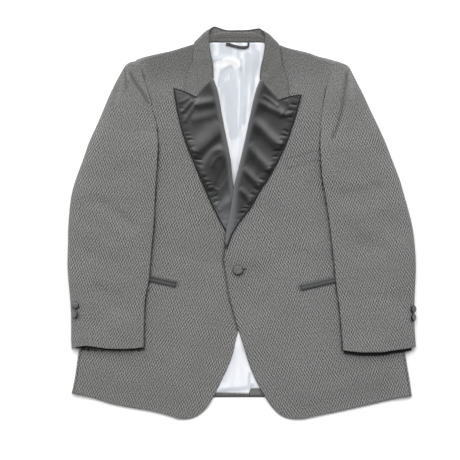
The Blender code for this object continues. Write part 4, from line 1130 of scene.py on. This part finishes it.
columns = [t ** 1.3 for t in steps(0, 1, 34)]
rows = runs((-1, -0.42, 110), (-0.42, -0.12, 90), (-0.12, 0.12, 60), (0.12, 0.42, 90), (0.42, 1, 110))
piece, u, _, x, y = gridMesh("collar_outer", columns, rows, collarPlace, collarShape["wall"])
# Painted shadow along the collar's inner edge; the left half is drawn darker
woolAttributes(piece, 0.22 + 0 * x, collarShape["leftDark"] * (x > 0)
               + collarShape["edgeDark"] * np.exp(-(u / 0.04) ** 2) * (y < 415))
finish(piece, "collar_fall", woolCollar)

standInner = ((-66, 322), (-73, 350), (-77, 380), (-76.5, 394), (-66, 400), (-40, 399.5), (-12, 399.5),
              (20, 399.5), (42, 400), (53, 394), (53.5, 380), (50, 350), (43, 322))
standOuter = ((-73, 322), (-87, 350), (-93, 380), (-86, 399), (-68, 414), (-40, 421.5), (-12, 420.8),
              (20, 420.8), (42, 414), (60, 399), (70, 380), (66, 350), (50, 322))
standInnerAt, standOuterAt = byLength(standInner), byLength(standOuter)
standShape = {"wall": 1.2, "seam": 0.35, "ripple": 0.2, "seamDark": 0.38, "edgeDark": 0.55}


def standPlace(u, v):
    point = mix(standInnerAt(v), standOuterAt(v), u[..., None])
    x, y = point[..., 0], point[..., 1]
    centre = cloth["centreX"]
    tail = ease((np.abs(x - centre) - 54) / 24) * ease((424 - y) / 26)
    atBack = 5.4 + 1.6 * u - 1.4 * np.maximum((u - 0.85) / 0.15, 0) ** 2
    atBack = atBack - standShape["seam"] * np.exp(-((u - 0.42) / 0.06) ** 2)
    atSide = np.where(x > centre, frontHeight(1, 66 + centre + 0 * x, np.minimum(y, 385)),
                      frontHeight(-1, -66 + centre + 0 * x, np.minimum(y, 385))) - 0.3
    ripple = standShape["ripple"] * softNoise(x, y, 26, 51) * ease(u / 0.2) * ease((1 - u) / 0.2)
    return x, y, mix(atBack, atSide, tail) + ripple


piece, u, *_ = gridMesh("collar_inner_band", steps(0, 1, 26), steps(0, 1, 220), standPlace, standShape["wall"])
# Painted shade in the stand's seam and along its edge over the lining
woolAttributes(piece, 0.2 + 0 * u, standShape["seamDark"] * np.exp(-((u - 0.42) / 0.04) ** 2)
               + standShape["edgeDark"] * np.exp(-(u / 0.07) ** 2))
finish(piece, "collar_stand", woolStand)


def besideLine(start, end, side, share, offset):  # a point along a line and off to one side of it
    ax, ay, bx, by = *start, *end
    length = math.hypot(bx - ax, by - ay)
    nx, ny = -(by - ay) / length * side, (bx - ax) / length * side
    return mix(ax, bx, share) + nx * offset, mix(ay, by, share) + ny * offset


def stripPlace(side, start, end, low, high, lift, crown):
    def place(u, v):
        x, y = besideLine(start, end, side, v, mix(low, high, u))
        return x, y, frontTop(side, x, y, 6.0) + lift + crown * np.sin(math.pi * u)

    return place


print("pockets")
# pale sets the painted sheen on each strip
jetShape = {
    "wall": 1.1, "gap": 0.1, "width": 6.4, "lift": 0.95, "crown": 0.12,
    "pale": {-1: {"upper": 0.15, "lower": 0.24}, 1: {"upper": 0.42, "lower": 0.30}},
}
for side, word in sides.items():
    for name, way in (("upper", 1), ("lower", -1)):
        low, high = way * jetShape["gap"], way * jetShape["width"]
        place = stripPlace(side, *pockets[side], low, high, jetShape["lift"], jetShape["crown"])
        label = f"pocket_jet_{word}_{name}"
        piece, u, *_ = gridMesh(label, steps(0, 1, 8), steps(0, 1, 80), place, jetShape["wall"])
        writeAttribute(piece, "band", jetShape["pale"][side][name] + 0 * u)
        finish(piece, f"jet_{word}_{name}", satinFacing)

weltShape = {"line": ((94, 141), (167, 161)), "width": 22, "wall": 0.4, "topDark": 0.55, "foot": -0.4, "top": 0.32}
flatStrip = stripPlace(1, *weltShape["line"], -weltShape["width"], 0, 0.0, 0.0)


def weltPlace(u, v):
    x, y, z = flatStrip(u, v)
    return x, y, z + mix(weltShape["foot"], weltShape["top"], ease(u / 0.3))


piece, u, *_, y = gridMesh("breast_pocket_welt", steps(0, 1, 14), steps(0, 1, 50), weltPlace, weltShape["wall"])
# Painted shade along the welt's top edge, in the pocket's mouth
topEdge = np.exp(-((1 - u) * weltShape["width"] / 1.3) ** 2)
woolAttributes(piece, weaveShare(y), weltShape["topDark"] * topEdge)
finish(piece, "breast_welt", woolLeft)

hanger = {"wall": 0.8, "halfWidth": 3.2, "height": 6.5, "arch": 1.4, "crown": 0.25}
hangerLine = byLength(((-36, 394), (-29, 394.2), (-22, 392), (-12, 389.3), (-2, 387.6), (8, 387.8), (13.6, 390.5),
                       (14.8, 394.5), (12, 397)))


def hangerPlace(u, v):
    point = hangerLine(v)
    z = hanger["height"] + hanger["arch"] * np.sin(math.pi * v) - 0.3 * np.abs(2 * v - 1) ** 8
    across = mix(-hanger["halfWidth"], hanger["halfWidth"], u)
    return point[..., 0], point[..., 1] + across, z + hanger["crown"] * np.sin(math.pi * u)


piece = gridMesh("hanger_tape", steps(0, 1, 8), steps(0, 1, 60), hangerPlace, hanger["wall"])[0]
finish(piece, "hanger_loop", tapeBlack)

print("edge cords and stitches")


def newTree(name, **sockets):
    tree = bpy.data.node_groups.new(name, "GeometryNodeTree")
    tree.interface.new_socket(name="Path", in_out="INPUT", socket_type="NodeSocketGeometry")
    for label, kind in sockets.items():
        tree.interface.new_socket(name=label, in_out="INPUT", socket_type="NodeSocket" + kind)
    tree.interface.new_socket(name="Result", in_out="OUTPUT", socket_type="NodeSocketGeometry")
    given = addNode(tree, "NodeGroupInput").outputs
    return tree, given, addNode(tree, "GeometryNodeMeshToCurve", {0: given["Path"]}).outputs[0]


def closeTree(tree, geometry, given):
    real = addNode(tree, "GeometryNodeRealizeInstances", {0: geometry}).outputs[0]
    painted = addNode(tree, "GeometryNodeSetMaterial", {"Geometry": real, "Material": given["Thread"]})
    addNode(tree, "NodeGroupOutput", {"Result": painted.outputs[0]})
    return tree


def cordTree():
    tree, given, line = newTree("edge cord", Radius="Float", Thread="Material")
    circle = addNode(tree, "GeometryNodeCurvePrimitiveCircle", {"Resolution": 8, "Radius": given["Radius"]})
    shape = {"Curve": line, "Profile Curve": circle.outputs["Curve"], "Fill Caps": True}
    return closeTree(tree, addNode(tree, "GeometryNodeCurveToMesh", shape).outputs[0], given)


def stitchTree():
    tree, given, line = newTree("hand stitches", Spacing="Float", Length="Float", Width="Float", Turn="Float",
                                Uneven="Float", Seed="Int", Thread="Material")
    points = addNode(tree, "GeometryNodeCurveToPoints", {"Curve": line, "Length": given["Spacing"]},
                     mode="LENGTH").outputs
    bead = addNode(tree, "GeometryNodeMeshIcoSphere", {"Radius": 0.5, "Subdivisions": 2}).outputs["Mesh"]
    size = {0: given["Length"], 1: given["Width"], 2: given["Width"]}
    size = addNode(tree, "ShaderNodeCombineXYZ", size).outputs[0]
    turn = addNode(tree, "ShaderNodeCombineXYZ", {2: given["Turn"]}).outputs[0]
    bead = addNode(tree, "GeometryNodeTransform", {"Geometry": bead, "Scale": size}).outputs[0]
    bead = addNode(tree, "GeometryNodeTransform", {"Geometry": bead, "Rotation": turn}).outputs[0]
    aim = addNode(tree, "FunctionNodeAlignRotationToVector", {"Vector": points["Tangent"]}, axis="X").outputs[0]
    low = calc(tree, "SUBTRACT", 1.0, given["Uneven"])
    vary = addNode(tree, "FunctionNodeRandomValue", {2: low, 3: 1.0, "Seed": given["Seed"]}, data_type="FLOAT")
    copies = {"Points": points["Points"], "Instance": bead, "Rotation": aim, "Scale": vary.outputs[1]}
    return closeTree(tree, addNode(tree, "GeometryNodeInstanceOnPoints", copies).outputs[0], given)


def alongPath(name, tree, points, slotName, **values):
    mesh = bpy.data.meshes.new(name)
    placed = (np.array(points) + cloth["toCentre"]) / 1000
    mesh.from_pydata([tuple(p) for p in placed], [(k, k + 1) for k in range(len(points) - 1)], [])
    guide = addObject(name + " guide", mesh)
    maker = guide.modifiers.new("made", "NODES")
    maker.node_group = tree
    for item in tree.interface.items_tree:
        if item.in_out == "INPUT" and item.name in values:
            maker[item.identifier] = values[item.name]
    bpy.context.view_layer.update()
    made = bpy.data.meshes.new_from_object(guide.evaluated_get(bpy.context.evaluated_depsgraph_get()))
    bpy.data.objects.remove(guide)
    made.name = name
    if not made.materials:
        made.materials.append(values["Thread"])
    made.polygons.foreach_set("use_smooth", np.ones(len(made.polygons), bool))
    piece = addObject(name, made)
    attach(piece, "root")


# Sizes in metres, and each row's distance from its edge in millimetres
edgeCord = {"Radius": 0.0013, "Thread": cordThread}
stitchKinds = {
    "pick": {"Spacing": 0.0062, "Length": 0.0018, "Width": 0.0006, "Turn": 0.0, "Uneven": 0.25},
    "pocket": {"Spacing": 0.0031, "Length": 0.0019, "Width": 0.0005, "Turn": 0.0, "Uneven": 0.2, "Seed": 7},
    "hole": {"Spacing": 0.0009, "Length": 0.0034, "Width": 0.0009, "Turn": math.pi / 2, "Uneven": 0.15, "Seed": 5},
    "tack": {"Spacing": 0.0007, "Length": 0.0030, "Width": 0.0006, "Turn": math.pi / 2, "Uneven": 0.1, "Seed": 9},
}
fromEdge = {"pick": 6.0, "pocket": 6.9}
cords, stitches = cordTree(), stitchTree()


def stitch(name, kind, points, slotName, **more):
    alongPath(name, stitches, list(points), slotName, Thread=blackThread, **stitchKinds[kind], **more)


for side, word in sides.items():
    place = lapelPlace(side)
    v, u = np.linspace(0.015, 1, 150), np.linspace(0.02, 0.5, 40)
    edge = list(zip(*place(0 * v, v))) + list(zip(*place(u, 0 * u + 1)))
    alongPath(f"lapel_edge_cord_{word}", cords, edge, "satin", **edgeCord)
    whole = lapelWidth(side, v)
    x, y, z = place(fromEdge["pick"] / whole[whole > 14], v[whole > 14])
    stitch(f"lapel_pick_stitches_{word}", "pick", zip(x, y, z + 0.72), "satin", Seed=3 + side)
    for name, way in (("upper", 1), ("lower", -1)):
        x, y = besideLine(*pockets[side], side, np.linspace(0.01, 0.5, 40), way * fromEdge["pocket"])
        stitch(f"pocket_stitches_{word}_{name}", "pocket", zip(x, y, frontTop(side, x, y, 6.0) + 0.1), "satin")
x = np.linspace(-14, 9, 24)
y = mix(-102.0, -99.5, (x + 14) / 23)
stitch("buttonhole_stitches", "hole", zip(x, y, frontTop(1, x, y, 4.0) + 0.15), "wool")
for name, tackX, tackY in (("right", -29.0, 395.6), ("left", 13.6, 395.0)):
    stitch(f"hanger_tack_{name}", "tack", [(tackX + t, tackY, 8.4) for t in np.linspace(-2.6, 2.6, 12)], "tape")

print("buttons")
# Rings from the middle of a covered button's foot to the middle of its top: share of the radius, of the height
buttonRings = ((0.0, 0.0), (0.5, 0.0), (0.80, 0.02), (0.93, 0.10), (0.99, 0.26), (1.0, 0.42), (0.985, 0.58),
               (0.93, 0.74), (0.84, 0.86), (0.70, 0.94), (0.45, 0.99), (0.2, 1.0), (0.0, 1.0))
frontButton = {"place": (-9, -102), "diameter": 22.6, "height": 5.5, "lift": 0.4,
               "look": (("weave", 0.5, 0.5), ("grain", 1.0, 1.0), ("shade", 0.9, 0.17))}
# Rows: y, angle round the sleeve, more lean, gap to the cloth
cuffButtons = {
    "diameter": 16.5, "height": 4.5, "look": (("band", 0.0, 0.62), ("crease", 1.0, 0.0)),
    -1: ((-180, 0.62, 0.0, 0.6), (-200.5, 0.62, 0.5, 3.1)),
    1: ((-188, 0.34, 0.22, 0.7), (-206.5, 0.34, 0.22, 0.7)),
}


def button(name, node, x, y, z, lean, material, shape):
    height, radius, around = shape["height"], shape["diameter"] / 2, 48
    profile = curvePoints(buttonRings, 3)[1:-1]  # without the two middles, which are single points
    points, faces = [], []
    for share, level in profile:
        for k in range(around):
            angle = 2 * math.pi * k / around
            gather = 1 + 0.012 * math.cos(9 * angle) * (level < 0.4)  # the cover is gathered underneath
            points.append((radius * share * gather * math.cos(angle), radius * share * gather * math.sin(angle),
                           height * level))
    points += [(0, 0, 0), (0, 0, height)]
    last = (len(profile) - 1) * around
    for k in range(around):
        following = (k + 1) % around
        for ring in range(0, last, around):
            a, b = ring + k, ring + following
            faces.append((a, b, b + around, a + around))
        faces.append((k, len(points) - 2, following))
        faces.append((last + k, last + following, len(points) - 1))
    points = np.array(points)
    px, py, pz = points.T
    c, s = math.cos(lean), math.sin(lean)
    placed = (np.stack([x + px * c + pz * s, y + py, z - px * s + pz * c], axis=-1) + cloth["toCentre"]) / 1000
    mesh = bpy.data.meshes.new(name)
    mesh.from_pydata([tuple(p) for p in placed], [], faces)
    mesh.polygons.foreach_set("use_smooth", np.ones(len(faces), bool))
    mesh.update()
    layer = mesh.uv_layers.new(name="cut")
    for loop in mesh.loops:
        layer.data[loop.index].uv = mesh.vertices[loop.vertex_index].co[:2]
    piece = addObject(name, mesh)
    # Painted shade round the foot and on the side away from the light; the cuff buttons get a painted sheen on top
    lowerRight, fromMiddle = (0.55 * px - 0.85 * py) / radius, np.hypot(px, py) / radius
    level = (pz / height - 0.75 * np.maximum(lowerRight - 0.42, 0)) * (1 - 0.7 * ease((fromMiddle - 0.82) / 0.14))
    for label, low, high in shape["look"]:
        writeAttribute(piece, label, mix(low, high, ease((level - 0.35) / 0.4)))
    mesh.materials.append(material)
    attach(piece, "root")
    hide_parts(node)


x, y = frontButton["place"]
z = float(frontTop(1, np.array(float(x)), np.array(float(y)), 8.0)) + frontButton["lift"]
button("front_cloth_button", "front_button", x, y, z, 0.0, woolLeft, frontButton)
for side, word in sides.items():
    for count, (y, angle, more, gap) in enumerate(cuffButtons[side], 1):
        (x, _, z), (nextX, _, nextZ) = ([float(t) for t in sleevePoint(side, np.array(float(y)), np.array(a))]
                                        for a in (angle, angle + 0.05))
        lean = abs(math.atan2(nextZ - z, abs(nextX - x)))
        away = cloth["wool"] / 2 + gap
        name = f"cuff_button_{word}_{count}"
        button(name + "_covered", name, x + side * away * math.sin(lean), y, z + away * math.cos(lean),
               side * (lean + more), satinFacing, cuffButtons)

print("stage")
ground = {"size": 14, "drop": -0.0004, "colour": (0.93, 0.93, 0.93, 1.0), "roughness": 0.9, "specular": 0.1}
bpy.ops.mesh.primitive_plane_add(size=ground["size"], location=(0, 0, ground["drop"]))
floor = bpy.context.object
floor.name = "floor"
floorMaterial, _, shader = startMaterial("pale floor", ground["roughness"], ground["specular"])
shader.inputs["Base Color"].default_value = ground["colour"]
floor.data.materials.append(floorMaterial)

scene = bpy.context.scene
if scene.world is None:
    scene.world = bpy.data.worlds.new("studio")
scene.world.use_nodes = True
sky = {"low": 0.24, "rise": 6.5, "high": 2.7, "way": (-0.06, 0.98)}  # dark overhead, bright towards the collar
tree = scene.world.node_tree
direction = addNode(tree, "ShaderNodeTexCoord").outputs["Generated"]
glow = addNode(tree, "ShaderNodeSeparateXYZ", {0: direction})
towards = calc(tree, "MULTIPLY_ADD", glow.outputs[1], sky["way"][1],
                calc(tree, "MULTIPLY", glow.outputs[0], sky["way"][0]))
strength = calc(tree, "MULTIPLY_ADD", calc(tree, "MAXIMUM", towards, 0.0), sky["rise"], sky["low"])
strength = calc(tree, "MINIMUM", strength, sky["high"])
tree.nodes["Background"].inputs["Color"].default_value = (1.0, 1.0, 1.0, 1.0)
tree.links.new(strength, tree.nodes["Background"].inputs["Strength"])

lights = {  # place, size, watts
    "softbox top": ((0.0, 3.0, 3.0), (4.2, 2.9), 80.0),
    "softbox left": ((-3.2, 0.5, 3.0), (2.6, 2.6), 20.0),
}
for name, (place, size, power) in lights.items():
    data = bpy.data.lights.new(name, "AREA")
    data.shape = "RECTANGLE"
    data.size, data.size_y = size
    data.energy = power
    lamp = addObject(name, data)
    lamp.location = place
    lamp.rotation_euler = (-Vector(place)).to_track_quat("-Z", "Y").to_euler()

view = {"centre": (-0.02693, -0.01617), "height": 8.0, "width": 1.012, "middle": 0.012}  # straight above
cameraData = bpy.data.cameras.new("overhead")
cameraData.sensor_width = 36.0
cameraData.lens = 36.0 * (view["height"] - view["middle"]) / view["width"]
cameraData.clip_end = 50.0
camera = addObject("overhead", cameraData)
camera.location = (*view["centre"], view["height"])
scene.camera = camera
scene.view_settings.view_transform = "Standard"
